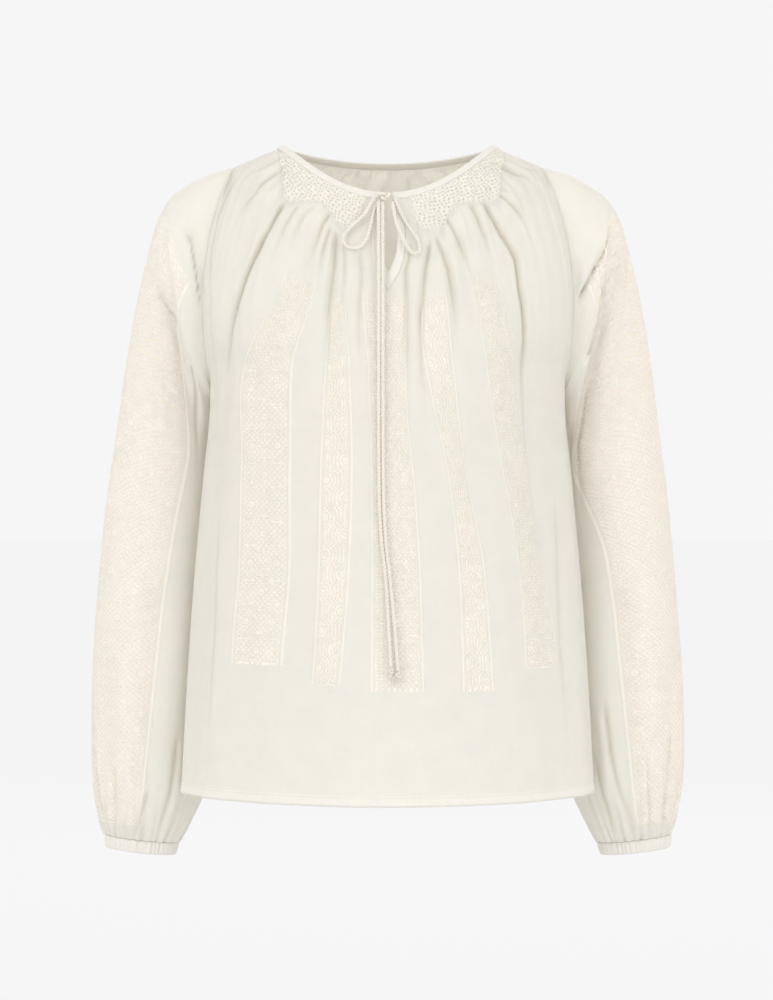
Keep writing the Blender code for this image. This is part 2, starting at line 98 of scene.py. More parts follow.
BODY_SECTIONS = (
    # edge, front_y, front_z, front_rise, back_y, back_z, back_rise, sharp
    (0.000, -0.0905, -0.0595, 2.10, 0.0705, -0.0135, 2.00, 1.00),
    (0.500, -0.0965, -0.0800, 1.90, 0.0780, -0.0290, 1.90, 1.00),
    (1.000, -0.1020, -0.1030, 1.70, 0.0850, -0.0520, 1.70, 1.00),
    (1.222, -0.1065, -0.1290, 1.55, 0.0915, -0.0850, 1.55, 1.00),
    (1.333, -0.1090, -0.1465, 1.45, 0.0945, -0.1050, 1.45, 1.01),
    (1.667, -0.1165, -0.1970, 1.20, 0.1020, -0.1720, 1.20, 1.05),
    (2.000, -0.1220, -0.2400, 1.00, 0.1070, -0.2380, 1.00, 1.10),
    (2.300, -0.1265, -0.3523, 1.00, 0.1110, -0.3523, 1.00, 1.24),
    (2.650, -0.1290, -0.4892, 1.00, 0.1145, -0.4892, 1.00, 1.36),
    (3.000, -0.1310, -0.6260, 1.00, 0.1180, -0.6260, 1.00, 1.44),
)
SIDE_SEAM = (
    # edge, x, y
    (2.00, 0.1700, 0.0220),
    (2.15, 0.1762, 0.0120),
    (2.30, 0.1815, 0.0070),
    (2.50, 0.1882, 0.0030),
    (2.75, 0.1948, 0.0010),
    (3.00, 0.2000, 0.0000),
)
SLIT = (
    # edge, half_width
    (0.000, 0.0040),
    (0.250, 0.0072),
    (0.600, 0.0086),
    (1.000, 0.0080),
    (1.111, 0.0058),
    (1.222, 0.0000),
)
SLEEVE_SECTIONS = (
    # outer x, y, z, inner x, y, z, half_depth, swell
    (0.1490, 0.003, -0.0195, 0.1700, 0.0220, -0.2350, 0.0580, 0.0158),
    (0.1768, 0.005, -0.0274, 0.1738, 0.0260, -0.2400, 0.0605, 0.0165),
    (0.2007, 0.010, -0.0399, 0.1757, 0.0310, -0.2450, 0.0615, 0.0150),
    (0.2126, 0.014, -0.0485, 0.1758, 0.0370, -0.2495, 0.0615, 0.0130),
    (0.2250, 0.020, -0.0680, 0.1750, 0.0430, -0.2550, 0.0610, 0.0100),
    (0.2338, 0.027, -0.0956, 0.1733, 0.0500, -0.2625, 0.0605, 0.0070),
    (0.2446, 0.035, -0.1374, 0.1712, 0.0570, -0.2735, 0.0600, 0.0040),
    (0.2530, 0.043, -0.1794, 0.1695, 0.0630, -0.2880, 0.0590, 0.0020),
    (0.2607, 0.050, -0.2259, 0.1680, 0.0680, -0.3070, 0.0575, 0.0000),
    (0.2674, 0.056, -0.2757, 0.1670, 0.0710, -0.3330, 0.0565, 0.0000),
    (0.2763, 0.060, -0.3359, 0.1665, 0.0725, -0.3680, 0.0560, 0.0000),
    (0.2829, 0.062, -0.3972, 0.1665, 0.0725, -0.4140, 0.0560, 0.0000),
    (0.2886, 0.063, -0.4587, 0.1680, 0.0720, -0.4660, 0.0565, 0.0000),
    (0.2927, 0.063, -0.5201, 0.1695, 0.0680, -0.5220, 0.0580, 0.0000),
    (0.2937, 0.063, -0.5815, 0.1740, 0.0680, -0.5800, 0.0560, 0.0000),
    (0.2916, 0.062, -0.6233, 0.1800, 0.0670, -0.6260, 0.0510, 0.0000),
    (0.2857, 0.060, -0.6548, 0.1945, 0.0640, -0.6580, 0.0400, 0.0000),
    (0.2797, 0.059, -0.6723, 0.2075, 0.0600, -0.6808, 0.0260, 0.0000),
)
SLEEVE_ROWS = [(ring, *row) for ring, row in enumerate(SLEEVE_SECTIONS)]

# The largest folds, which the CAD has too.
FRONT_FOLDS = (
    # across_start, across_end, edge_start, edge_end, depth, width
    (-0.63, -0.76, 0.10, 1.75, 0.0032, 0.050),
    (-0.88, -0.82, 1.02, 2.30, 0.0032, 0.048),
    (-0.46, -0.80, 0.60, 2.45, 0.0062, 0.052),
    (-0.27, -0.32, 0.45, 1.90, 0.0042, 0.034),
    (-0.20, -0.22, 0.85, 2.20, 0.0038, 0.030),
    (0.16, 0.12, 0.90, 2.40, 0.0036, 0.030),
    (0.19, 0.25, 0.90, 2.20, 0.0042, 0.030),
    (0.26, 0.34, 0.55, 1.90, 0.0036, 0.032),
    (0.40, 0.43, 0.60, 1.80, 0.0042, 0.036),
    (0.44, 0.60, 0.70, 2.70, 0.0060, 0.052),
    (0.64, 0.82, 0.10, 1.60, 0.0032, 0.050),
)
BACK_FOLDS = (
    # across_start, across_end, edge_start, edge_end, depth, width
    (-0.70, -0.80, 0.15, 2.10, 0.0040, 0.060),
    (-0.46, -0.58, 0.10, 2.50, 0.0070, 0.060),
    (-0.24, -0.27, 0.20, 2.00, 0.0050, 0.055),
    (-0.02, -0.04, 0.15, 2.30, 0.0050, 0.055),
    (0.22, 0.27, 0.10, 2.60, 0.0060, 0.055),
    (0.47, 0.56, 0.20, 2.10, 0.0060, 0.055),
    (0.69, 0.80, 0.10, 2.40, 0.0040, 0.060),
)
SLEEVE_FOLDS = (
    # turn_start, turn_end, ring_start, ring_end, depth, width
    (0.22, 0.40, 1.0, 9.0, 0.0060, 0.045),
    (0.10, 0.16, 12.0, 17.0, 0.0035, 0.040),
    (0.26, 0.24, 11.0, 17.0, 0.0045, 0.040),
    (0.41, 0.38, 10.5, 17.0, 0.0045, 0.040),
    (0.62, 0.60, 10.0, 17.0, 0.0045, 0.040),
    (0.78, 0.75, 2.0, 10.0, 0.0050, 0.050),
    (0.88, 0.84, 11.0, 17.0, 0.0040, 0.040),
)

# Finer creases, each along its own route: depth and width in metres, and the share of the depth that stands up
# as a ridge beside it, on the side of more across (or turn) if it is above 0.
FRONT_CREASES = (
    # depth, width, ridge, ((across, edge), ...)
    (0.0052, 0.0046, -0.5, ((-0.49, 0.80), (-0.51, 1.15), (-0.54, 1.30), (-0.59, 1.49), (-0.65, 1.66), (-0.76, 2.05))),
    (0.0024, 0.0050, 0.5, ((-0.85, 1.02), (-0.91, 1.31), (-0.88, 1.45), (-0.81, 1.55), (-0.84, 2.10))),
    (0.0030, 0.0044, -0.5, ((-0.64, 0.10), (-0.65, 0.55), (-0.65, 0.96), (-0.75, 1.45))),
    (0.0020, 0.0030, 0.5, ((-0.72, 0.10), (-0.74, 0.50), (-0.78, 1.10))),
    (0.0020, 0.0030, 0.4, ((-0.41, 0.72), (-0.44, 1.05), (-0.47, 1.40))),
    (0.0016, 0.0034, -0.4, ((-0.35, 0.56), (-0.38, 0.95), (-0.40, 1.35))),
    (0.0030, 0.0028, -0.5, ((-0.27, 0.58), (-0.29, 1.06), (-0.32, 1.36))),
    (0.0030, 0.0024, 0.5, ((-0.24, 0.85), (-0.26, 1.18), (-0.27, 1.36))),
    (0.0026, 0.0026, -0.5, ((-0.21, 0.86), (-0.205, 1.59), (-0.22, 1.98))),
    (0.0020, 0.0028, 0.4, ((-0.17, 0.95), (-0.165, 1.25), (-0.15, 1.55))),
    (0.0020, 0.0034, 0.4, ((-0.10, 1.00), (-0.10, 1.60), (-0.09, 2.00))),
    (0.0026, 0.0026, -0.4, ((0.070, 0.90), (0.062, 1.59), (0.072, 2.20))),
    (0.0030, 0.0028, -0.5, ((0.165, 0.90), (0.14, 1.23), (0.11, 1.50), (0.115, 1.80), (0.14, 2.20))),
    (0.0030, 0.0026, 0.5, ((0.185, 0.92), (0.23, 1.25), (0.23, 1.45), (0.235, 1.75))),
    (0.0028, 0.0028, 0.5, ((0.25, 0.66), (0.29, 1.10), (0.33, 1.45))),
    (0.0026, 0.0030, 0.5, ((0.39, 0.62), (0.40, 1.05), (0.42, 1.42))),
    (0.0040, 0.0036, 0.5, ((0.44, 0.70), (0.48, 1.15), (0.52, 1.33), (0.51, 1.44), (0.53, 1.70), (0.54, 2.40))),
    (0.0026, 0.0034, 0.5, ((0.53, 0.78), (0.59, 1.09), (0.64, 1.40))),
    (0.0034, 0.0044, 0.5, ((0.65, 0.10), (0.71, 0.41), (0.73, 0.70), (0.80, 1.20))),
    (0.0018, 0.0030, -0.4, ((0.74, 0.12), (0.80, 0.60), (0.86, 1.10))),
    (0.0016, 0.0060, 0.3, ((-0.70, 2.30), (-0.66, 2.60), (-0.67, 2.99))),
    (0.0014, 0.0070, -0.3, ((0.70, 2.25), (0.66, 2.60), (0.68, 2.99))),
)
BACK_CREASES = (
    # depth, width, ridge, ((across, edge), ...)
    (0.0030, 0.0044, 0.5, ((-0.68, 0.10), (-0.72, 0.60), (-0.80, 1.40))),
    (0.0038, 0.0046, -0.5, ((-0.47, 0.20), (-0.50, 1.00), (-0.57, 1.90))),
    (0.0024, 0.0034, 0.4, ((-0.36, 0.15), (-0.38, 0.80), (-0.42, 1.45))),
    (0.0030, 0.0036, 0.5, ((-0.25, 0.12), (-0.26, 0.90), (-0.29, 1.80))),
    (0.0022, 0.0034, -0.4, ((-0.13, 0.12), (-0.14, 0.70), (-0.15, 1.35))),
    (0.0030, 0.0038, 0.5, ((-0.02, 0.12), (-0.03, 1.00), (-0.05, 2.05))),
    (0.0020, 0.0032, 0.4, ((0.10, 0.12), (0.11, 0.60), (0.13, 1.20))),
    (0.0034, 0.0040, -0.5, ((0.22, 0.15), (0.24, 1.00), (0.28, 2.30))),
    (0.0022, 0.0034, 0.4, ((0.35, 0.15), (0.37, 0.80), (0.40, 1.50))),
    (0.0034, 0.0044, 0.5, ((0.46, 0.20), (0.50, 1.00), (0.57, 1.95))),
    (0.0028, 0.0044, 0.5, ((0.66, 0.10), (0.72, 0.60), (0.80, 1.55))),
    (0.0016, 0.0070, 0.3, ((-0.55, 2.10), (-0.50, 2.50), (-0.52, 2.99))),
    (0.0016, 0.0070, -0.3, ((0.30, 2.20), (0.35, 2.60), (0.33, 2.99))),
)
RIGHT_CREASES = (
    # depth, width, ridge, ((turn, ring), ...)
    (0.0054, 0.0046, -0.6, ((0.10, 3.2), (0.18, 2.2), (0.23, 1.3), (0.29, 0.2))),
    (0.0016, 0.0050, 0.4, ((0.27, 2.2), (0.19, 3.6), (0.11, 5.4))),
    (0.0014, 0.0050, 0.4, ((0.08, 4.6), (0.15, 5.4), (0.24, 6.3))),
    (0.0030, 0.0040, 0.5, ((0.33, 5.5), (0.36, 8.0), (0.34, 10.5))),
    (0.0024, 0.0030, 0.5, ((0.31, 13.2), (0.30, 14.2), (0.27, 15.5), (0.26, 17.0))),
    (0.0024, 0.0030, -0.5, ((0.345, 14.2), (0.33, 15.4), (0.335, 17.0))),
    (0.0016, 0.0034, 0.5, ((0.11, 13.6), (0.13, 15.6), (0.12, 17.0))),
    (0.0016, 0.0030, 0.5, ((0.02, 14.6), (0.05, 16.0), (0.07, 17.0))),
    (0.0016, 0.0034, 0.4, ((0.20, 14.0), (0.19, 15.6), (0.20, 17.0))),
    (0.0020, 0.0040, 0.5, ((0.60, 12.0), (0.58, 14.5), (0.59, 17.0))),
    (0.0020, 0.0040, -0.5, ((0.72, 12.6), (0.74, 15.0), (0.72, 17.0))),
    (0.0020, 0.0040, 0.5, ((0.86, 12.0), (0.84, 14.5), (0.86, 17.0))),
    (0.0026, 0.0060, 0.4, ((0.70, 1.0), (0.68, 4.0), (0.72, 8.0))),
)
LEFT_CREASES = (
    # depth, width, ridge, ((turn, ring), ...)
    (0.0036, 0.0042, -0.5, ((0.155, 1.6), (0.19, 0.9), (0.24, 0.5), (0.30, 0.1))),
    (0.0016, 0.0060, 0.4, ((0.30, 3.0), (0.22, 4.4), (0.13, 6.0))),
    (0.0030, 0.0046, 0.5, ((0.36, 3.0), (0.365, 6.0), (0.35, 9.5))),
    (0.0024, 0.0032, -0.5, ((0.255, 15.0), (0.235, 16.2), (0.22, 17.0))),
    (0.0022, 0.0030, 0.5, ((0.33, 13.8), (0.32, 15.4), (0.31, 17.0))),
    (0.0018, 0.0034, 0.5, ((0.06, 13.8), (0.08, 15.6), (0.09, 17.0))),
    (0.0016, 0.0034, -0.4, ((0.15, 14.4), (0.15, 15.8), (0.16, 17.0))),
    (0.0020, 0.0040, 0.5, ((0.59, 12.4), (0.60, 14.7), (0.58, 17.0))),
    (0.0020, 0.0040, -0.5, ((0.70, 12.0), (0.71, 14.6), (0.73, 17.0))),
    (0.0020, 0.0040, 0.5, ((0.88, 12.6), (0.86, 15.0), (0.87, 17.0))),
    (0.0026, 0.0060, 0.4, ((0.72, 1.4), (0.70, 4.4), (0.69, 8.2))),
)

# Embroidered panels of the front: their left and right sides at each edge, and which design each has.
PANEL_SIDES = {
    "embroidery_outer_left": (
        # edge, left, right
        (1.27, -0.385, -0.262),
        (1.46, -0.410, -0.272),
        (1.57, -0.460, -0.290),
        (1.67, -0.515, -0.312),
        (1.80, -0.570, -0.336),
        (1.95, -0.598, -0.345),
        (2.20, -0.570, -0.338),
        (2.44, -0.550, -0.322),
        (2.61, -0.560, -0.335),
        (2.67, -0.560, -0.340),
    ),
    "embroidery_inner_left": (
        (1.32, -0.205, -0.148),
        (1.65, -0.212, -0.135),
        (1.96, -0.230, -0.125),
        (2.19, -0.235, -0.115),
        (2.41, -0.232, -0.118),
        (2.60, -0.235, -0.132),
        (2.715, -0.243, -0.146),
    ),
    "embroidery_middle": (
        (1.30, -0.098, 0.072),
        (1.68, -0.075, 0.062),
        (1.96, -0.068, 0.066),
        (2.10, -0.060, 0.074),
        (2.27, -0.056, 0.094),
        (2.45, -0.054, 0.106),
        (2.73, -0.054, 0.112),
    ),
    "embroidery_inner_right": (
        (1.30, 0.118, 0.206),
        (1.65, 0.110, 0.220),
        (1.90, 0.135, 0.240),
        (2.10, 0.172, 0.255),
        (2.22, 0.202, 0.272),
        (2.43, 0.226, 0.322),
        (2.73, 0.232, 0.340),
    ),
    "embroidery_outer_right": (
        (1.27, 0.300, 0.405),
        (1.47, 0.312, 0.428),
        (1.72, 0.340, 0.478),
        (2.04, 0.378, 0.512),
        (2.20, 0.405, 0.540),
        (2.35, 0.440, 0.562),
        (2.50, 0.458, 0.605),
        (2.68, 0.462, 0.640),
    ),
}
# The sleeves' embroidery, from the shoulder to the cuff: its outer and inner side, as turns, and how many rings
# higher its inner side is.
SLEEVE_PANEL_SIDES = (
    # ring, outer, inner, skew
    (2.60, -0.020, 0.255, 4.10),
    (3.60, -0.050, 0.275, 3.60),
    (5.00, -0.070, 0.305, 2.00),
    (7.00, -0.080, 0.328, 0.50),
    (8.50, -0.080, 0.330, 0.10),
    (9.20, -0.080, 0.318, 0.00),
    (11.00, -0.080, 0.285, 0.00),
    (13.00, -0.080, 0.265, 0.00),
    (14.70, -0.075, 0.248, 0.00),
    (16.20, -0.070, 0.240, 0.00),
)

# How far down the smocking reaches, at each place across the front.
SMOCKING = {
    "smocking_left": (
        # across, edge
        (-0.82, 0.02), (-0.74, 0.14), (-0.645, 0.32), (-0.56, 0.62), (-0.50, 0.86), (-0.46, 0.86), (-0.40, 0.66),
        (-0.33, 0.50), (-0.29, 0.55), (-0.26, 0.68), (-0.21, 0.84), (-0.16, 0.92), (-0.12, 0.82), (-0.07, 0.56),
    ),
    "smocking_right": (
        (0.07, 0.56), (0.12, 0.82), (0.16, 0.92), (0.21, 0.98), (0.24, 0.94), (0.27, 0.72), (0.33, 0.56),
        (0.40, 0.68), (0.46, 0.86), (0.52, 0.96), (0.60, 0.68), (0.70, 0.42), (0.80, 0.24), (0.92, 0.05),
    ),
}

# ---- The tie, as in the CAD ----
CORD = 0.0036
KNOT_CENTRE = Vector((-0.0035, -0.0964, -0.0575))
LOOP_LEFT = (
    (-0.0130, -0.0966, -0.0585),
    (-0.0215, -0.1010, -0.0743),
    (-0.0374, -0.1030, -0.0902),
    (-0.0420, -0.1035, -0.0977),
    (-0.0392, -0.1045, -0.1043),
    (-0.0336, -0.1055, -0.1070),
    (-0.0262, -0.1060, -0.1061),
    (-0.0205, -0.1058, -0.0995),
    (-0.0177, -0.1045, -0.0921),
    (-0.0140, -0.1000, -0.0760),
    (-0.0115, -0.0963, -0.0655),
)
LOOP_RIGHT = (
    (0.0040, -0.0985, -0.0640),
    (0.0084, -0.1068, -0.0856),
    (0.0149, -0.1090, -0.1005),
    (0.0196, -0.1090, -0.1089),
    (0.0243, -0.1085, -0.1122),
    (0.0294, -0.1075, -0.1098),
    (0.0285, -0.1055, -0.1015),
    (0.0224, -0.1035, -0.0911),
    (0.0140, -0.0995, -0.0781),
    (0.0098, -0.0975, -0.0690),
    (0.0066, -0.0964, -0.0600),
)
END_LEFT = (
    (-0.0089, -0.0985, -0.0630),
    (-0.0090, -0.1030, -0.0720),
    (-0.0088, -0.1065, -0.0900),
    (-0.0087, -0.1130, -0.1290),
    (-0.0087, -0.1215, -0.1970),
    (-0.0087, -0.1265, -0.2500),
    (-0.0081, -0.1300, -0.3420),
    (-0.0060, -0.1310, -0.3800),
    (-0.0021, -0.1318, -0.4163),
    (0.0006, -0.1328, -0.4624),
    (0.0026, -0.1334, -0.4960),
)
END_RIGHT = (
    (-0.0048, -0.0985, -0.0640),
    (-0.0050, -0.1030, -0.0720),
    (-0.0049, -0.1065, -0.0900),
    (-0.0048, -0.1130, -0.1290),
    (-0.0048, -0.1215, -0.1970),
    (-0.0048, -0.1265, -0.2500),
    (-0.0042, -0.1300, -0.3420),
    (-0.0021, -0.1310, -0.3800),
    (0.0018, -0.1318, -0.4163),
    (0.0062, -0.1328, -0.4624),
    (0.0090, -0.1334, -0.4996),
)
END_KNOT_SIZE = (0.0066, 0.0066, 0.0100)
BOW_KNOT_SIZE = (0.0056, 0.0022, 0.0034)
STOPPER_SIZE = (0.0022, 0.0020, 0.0026)
STOPPER_TWIST = 0.005
STOPPER_CORD = 0.0022
ROUTE_STEP = 0.0006


# ---- Tables and forms ----
def eased(low, high, at):
    """How far at is from low to high, eased at both ends, from 0 to 1."""
    share = np.clip((at - low) / (high - low), 0.0, 1.0)
    return share * share * (3 - 2 * share)


def read(table, at):
    """The columns of a table at values of its first column, on smooth curves through its rows."""
    rows = np.array(table, float)
    keys = rows[:, 0]
    at = np.asarray(at, float)
    k = np.clip(np.searchsorted(keys, at, side="left") - 1, 0, len(keys) - 2)
    before, after = np.maximum(k - 1, 0), np.minimum(k + 2, len(keys) - 1)
    step = keys[k + 1] - keys[k]
    share = (at - keys[k]) / step

    def column(c):
        low, high = rows[k, c], rows[k + 1, c]
        start = (high - rows[before, c]) / np.maximum(keys[k + 1] - keys[before], 1e-9) * step
        finish = (rows[after, c] - low) / np.maximum(keys[after] - keys[k], 1e-9) * step
        bend = 2 * (low - high) + start + finish
        sag = 3 * (high - low) - 2 * start - finish
        return ((bend * share + sag) * share + start) * share + low

    return [column(c) for c in range(1, rows.shape[1])]


def stacked(x, y, z):
    """Points from their three numbers."""
    return np.stack(np.broadcast_arrays(x, y, z), axis=-1)


def lengths(line):
    """How far along a line each of its points is."""
    return np.concatenate(([0.0], np.cumsum(np.linalg.norm(np.diff(line, axis=0), axis=1))))


def straight(start, end, share):
    """Points between two others, at shares of the way."""
    share = np.asarray(share, float)[..., None]
    return np.asarray(start) * (1 - share) + np.asarray(end) * share


def ring_points(outer, inner, half_depth, swell, angle):
    """Points of rings of the sleeve: angle 0 is its outer point, half pi its front and pi its inner point."""
    points = (outer + inner) / 2 + (outer - inner) / 2 * np.cos(angle)[..., None]
    points[..., 1] -= half_depth * np.sin(angle)
    points[..., 0] += swell * np.sin(angle) ** 2
    return points


def edge_points(edge, side):
    """Points on the seam round the right-hand half of the front (side -1) or the back (side 1)."""
    shoulder = straight(NECK_SIDE, SHOULDER, np.clip(edge, 0, 1))
    angle = side * (1 - np.clip(edge, 1, 2)) * math.pi
    armhole = ring_points(SHOULDER, UNDERARM, ARMHOLE_DEPTH, ARMHOLE_SWELL, angle)
    x, y = read(SIDE_SEAM, np.clip(edge, 2, 3))
    down = stacked(x, y, UNDERARM[2] + (HEM_Z - UNDERARM[2]) * (edge - 2))
    return np.where(edge[..., None] <= 1, shoulder, np.where(edge[..., None] <= 2, armhole, down))


def body_points(edge, across, side):
    """Points of the front or the back, with no folds."""
    front_y, front_z, front_rise, back_y, back_z, back_rise, sharp = read(BODY_SECTIONS, edge)
    middle_y, middle_z, rise = (front_y, front_z, front_rise) if side < 0 else (back_y, back_z, back_rise)
    corner = edge_points(edge, side)
    turn = across * math.pi / 2
    level = np.maximum(np.cos(turn), 0.0)
    y = corner[..., 1] + (middle_y - corner[..., 1]) * level**sharp
    z = corner[..., 2] + (middle_z - corner[..., 2]) * level**rise
    return stacked(corner[..., 0] * np.sin(turn), y, z)


def body_form(edge, across, side):
    """Points of the front or the back, eased where the shoulder, the armhole and the side seam meet."""
    inside = eased(0.0, 0.10, 1 - np.abs(across)) * eased(0.0, 0.4, edge) * eased(0.0, 0.4, 3 - edge)
    spread = 0.26 * np.maximum(np.exp(-(((edge - 1) / 0.32) ** 2)), np.exp(-(((edge - 2) / 0.32) ** 2))) * inside
    taps = ((-1.0, 0.12), (-0.5, 0.23), (0.0, 0.30), (0.5, 0.23), (1.0, 0.12))
    return sum(body_points(np.clip(edge + spread * step, 0, 3), across, side) * weight for step, weight in taps)


def unit(vectors):
    """The same directions, each with a length of 1."""
    return vectors / np.maximum(np.linalg.norm(vectors, axis=-1, keepdims=True), 1e-12)


def folds_depth(folds, place, along):
    """How far the largest folds take points inwards."""
    depth = np.zeros(np.broadcast(place, along).shape)
    for place_start, place_end, start, end, deepest, width in folds:
        share = np.clip((along - start) / (end - start), 0.0, 1.0)
        middle = place_start + (place_end - place_start) * share
        faded = deepest * eased(0.0, 0.15, share) * eased(0.0, 0.5, 1 - share)
        depth += faded * np.exp(-(((place - middle) / width) ** 2))
    return depth


def creases_depth(creases, place, along, reach):
    """How far the fine creases take points inwards, and how much painted shade they lay on the cloth's colour, from 0
    to 1.

    reach is how many metres of cloth one unit of place is.
    """
    depth, painted_crease_shade = np.zeros(np.broadcast(place, along).shape), np.zeros(np.broadcast(place, along).shape)
    for deepest, width, ridge, route in creases:
        places, stops = (np.array(column) for column in zip(*route))
        if stops[0] > stops[-1]:
            places, stops = places[::-1], stops[::-1]
        share = (along - stops[0]) / (stops[-1] - stops[0])
        fade = eased(0.0, 0.12, share) * eased(0.0, 0.6, 1 - share)
        aside = (place - np.interp(along, stops, places)) * reach
        tight = max(0.45 * width, 0.0018)
        beside = np.exp(-(((aside - math.copysign(2.3 * tight + 0.001, ridge)) / (1.1 * width)) ** 2))
        depth += deepest * fade * (np.exp(-((np.abs(aside) / tight) ** 1.4)) - abs(ridge) * beside)
        # Painted shade along the crease's trough, which the cloth's colour takes.
        painted_crease_shade += fade * min(deepest / 0.0030, 1.3) * np.exp(-((np.abs(aside) / (0.75 * tight)) ** 1.4))
    return depth, np.minimum(painted_crease_shade, 1.2)


def ripples(place, counts, seed):
    """Uneven soft waves across the cloth, from -1 to 1."""
    random = np.random.default_rng(seed)
    total = np.zeros(np.shape(place))
    for count in counts:
        phase, bend, slow = random.uniform(0, 2 * math.pi), random.uniform(0.6, 1.4), random.uniform(1.3, 2.9)
        total += np.sin(count * math.pi * place + phase + bend * np.sin(slow * math.pi * place + phase))
    return total / len(counts)


def body_reach(edge, side):
    """Metres of cloth from the middle of a section to its side."""
    corner = edge_points(edge, side)
    middle = read(BODY_SECTIONS, edge)[0 if side < 0 else 3]
    return math.pi / 2 * np.sqrt((corner[..., 0] ** 2 + (middle - corner[..., 1]) ** 2) / 2)


def body_relief(edge, across, side):
    """How far the folds, creases and gathers of the front or the back take points inwards."""
    folds, creases = (FRONT_FOLDS, FRONT_CREASES) if side < 0 else (BACK_FOLDS, BACK_CREASES)
    depth = folds_depth(folds, across, edge) * FOLD_SHARE
    depth += creases_depth(creases, across, edge, body_reach(edge, side))[0]
    inside = eased(0.0, 0.06, 1 - np.abs(across))
    fine = eased(0.02, 0.25, edge) * eased(0.9, 2.0, 3 - edge)
    depth += ripples(across, (17.3, 24.1, 33.7), 3 if side < 0 else 8) * 0.0009 * fine * inside
    if side < 0:
        gathered = eased(0.35, 0.85, edge) * eased(0.0, 1.0, 1.75 - edge)
        depth += ripples(across, (29.0, 41.0, 53.0), 17) * 0.0009 * gathered * inside
    if side > 0:
        gathers = ripples(across, (38.0, 55.0), 5) * 0.0011
        depth += gathers * eased(0.0, 0.06, edge) * eased(0.2, 1.0, 1.2 - edge) * inside
    soft = eased(1.4, 2.4, edge)
    depth += ripples(across + 0.02 * np.sin(5 * edge), (4.3, 7.1), 11 + side) * 0.0016 * soft * inside
    return depth


def body_cloth(edge, across, side, sign=1, lift=0.0):
    """Points on the outside of the front or the back. sign is the side of the slit that they are on."""
    edge, across, sign = np.broadcast_arrays(np.asarray(edge, float), np.asarray(across, float), sign)
    small = 0.002
    at = np.clip(edge, small, 3 - small)
    aside = body_form(at, across + small, side) - body_form(at, across - small, side)
    down = body_form(at + small, across, side) - body_form(at - small, across, side)
    inwards = unit(np.cross(aside, down)) * -side
    points = body_form(edge, across, side) + inwards * (body_relief(edge, across, side) - lift)[..., None]
    if side < 0:
        half = np.where(edge < SLIT_FOOT, read(SLIT, np.clip(edge, 0, SLIT_FOOT))[0], 0.0)
        points[..., 0] += sign * half * np.exp(-np.abs(points[..., 0]) / SLIT_REACH)
    points[..., 1] += side * SEAM / 2
    return points


def sleeve_reach(ring):
    """Metres of cloth round the sleeve."""
    return 0.30 - 0.13 * eased(14.0, 17.0, ring)


def sleeve_relief(turn, ring, mirror):
    """How far the folds, creases and gathers of a sleeve take points inwards."""
    around = np.mod(turn, 1.0)
    wide = sleeve_reach(ring)
    depth = folds_depth(SLEEVE_FOLDS, around, ring)
    depth += creases_depth(RIGHT_CREASES if mirror > 0 else LEFT_CREASES, around, ring, wide)[0]
    random = np.random.default_rng(21 + mirror)
    for count, most in ((22, 0.0011), (31, 0.0010), (43, 0.0007)):
        phase, bend = random.uniform(0, 2 * math.pi, 2)
        wave = np.sin(2 * math.pi * count * around + phase + 1.1 * np.sin(2 * math.pi * 3 * around + bend))
        depth += wave * most * eased(13.6 if count < 40 else 15.2, 16.9, ring)
    slow = 0.0016 * np.sin(2 * math.pi * 3 * around + 0.5 * ring + mirror)
    depth += slow * eased(1.0, 4.0, ring) * eased(0, 4, 15 - ring)
    return depth


def sleeve_cloth(ring, turn, mirror, lift=0.0):
    """Points on the outside of a sleeve. mirror is 1 at the right and -1 at the left."""
    ring, turn = np.broadcast_arrays(np.asarray(ring, float), np.asarray(turn, float))
    x, y, z, inner_x, inner_y, inner_z, half_depth, swell = read(SLEEVE_ROWS, ring)
    outer, inner = stacked(x, y, z), stacked(inner_x, inner_y, inner_z)
    points = ring_points(outer, inner, half_depth, swell, turn * 2 * math.pi)
    inwards = unit((outer + inner) / 2 - points)
    points = points + inwards * (sleeve_relief(turn, ring, mirror) - lift)[..., None]
    underarm = np.exp(-(((np.mod(turn, 1.0) - 0.46) / 0.09) ** 2)) * eased(0.2, 1.4, ring) * eased(0.0, 3.0, 8.0 - ring)
    points[..., 0] = mirror * (points[..., 0] + SEAM - UNDERARM_FILL * underarm)
    return points


# ---- Making meshes ----
def grid(values_down, values_across):
    """Both place numbers at each point of a grid."""
    return np.meshgrid(np.asarray(values_down, float), np.asarray(values_across, float), indexing="ij")


def run(*stretches):
    """Numbers from stretches of (start, end, count), each stretch ending where the next one starts."""
    parts = [np.linspace(start, end, count, endpoint=False) for start, end, count in stretches]
    return np.concatenate(parts + [[stretches[-1][1]]])


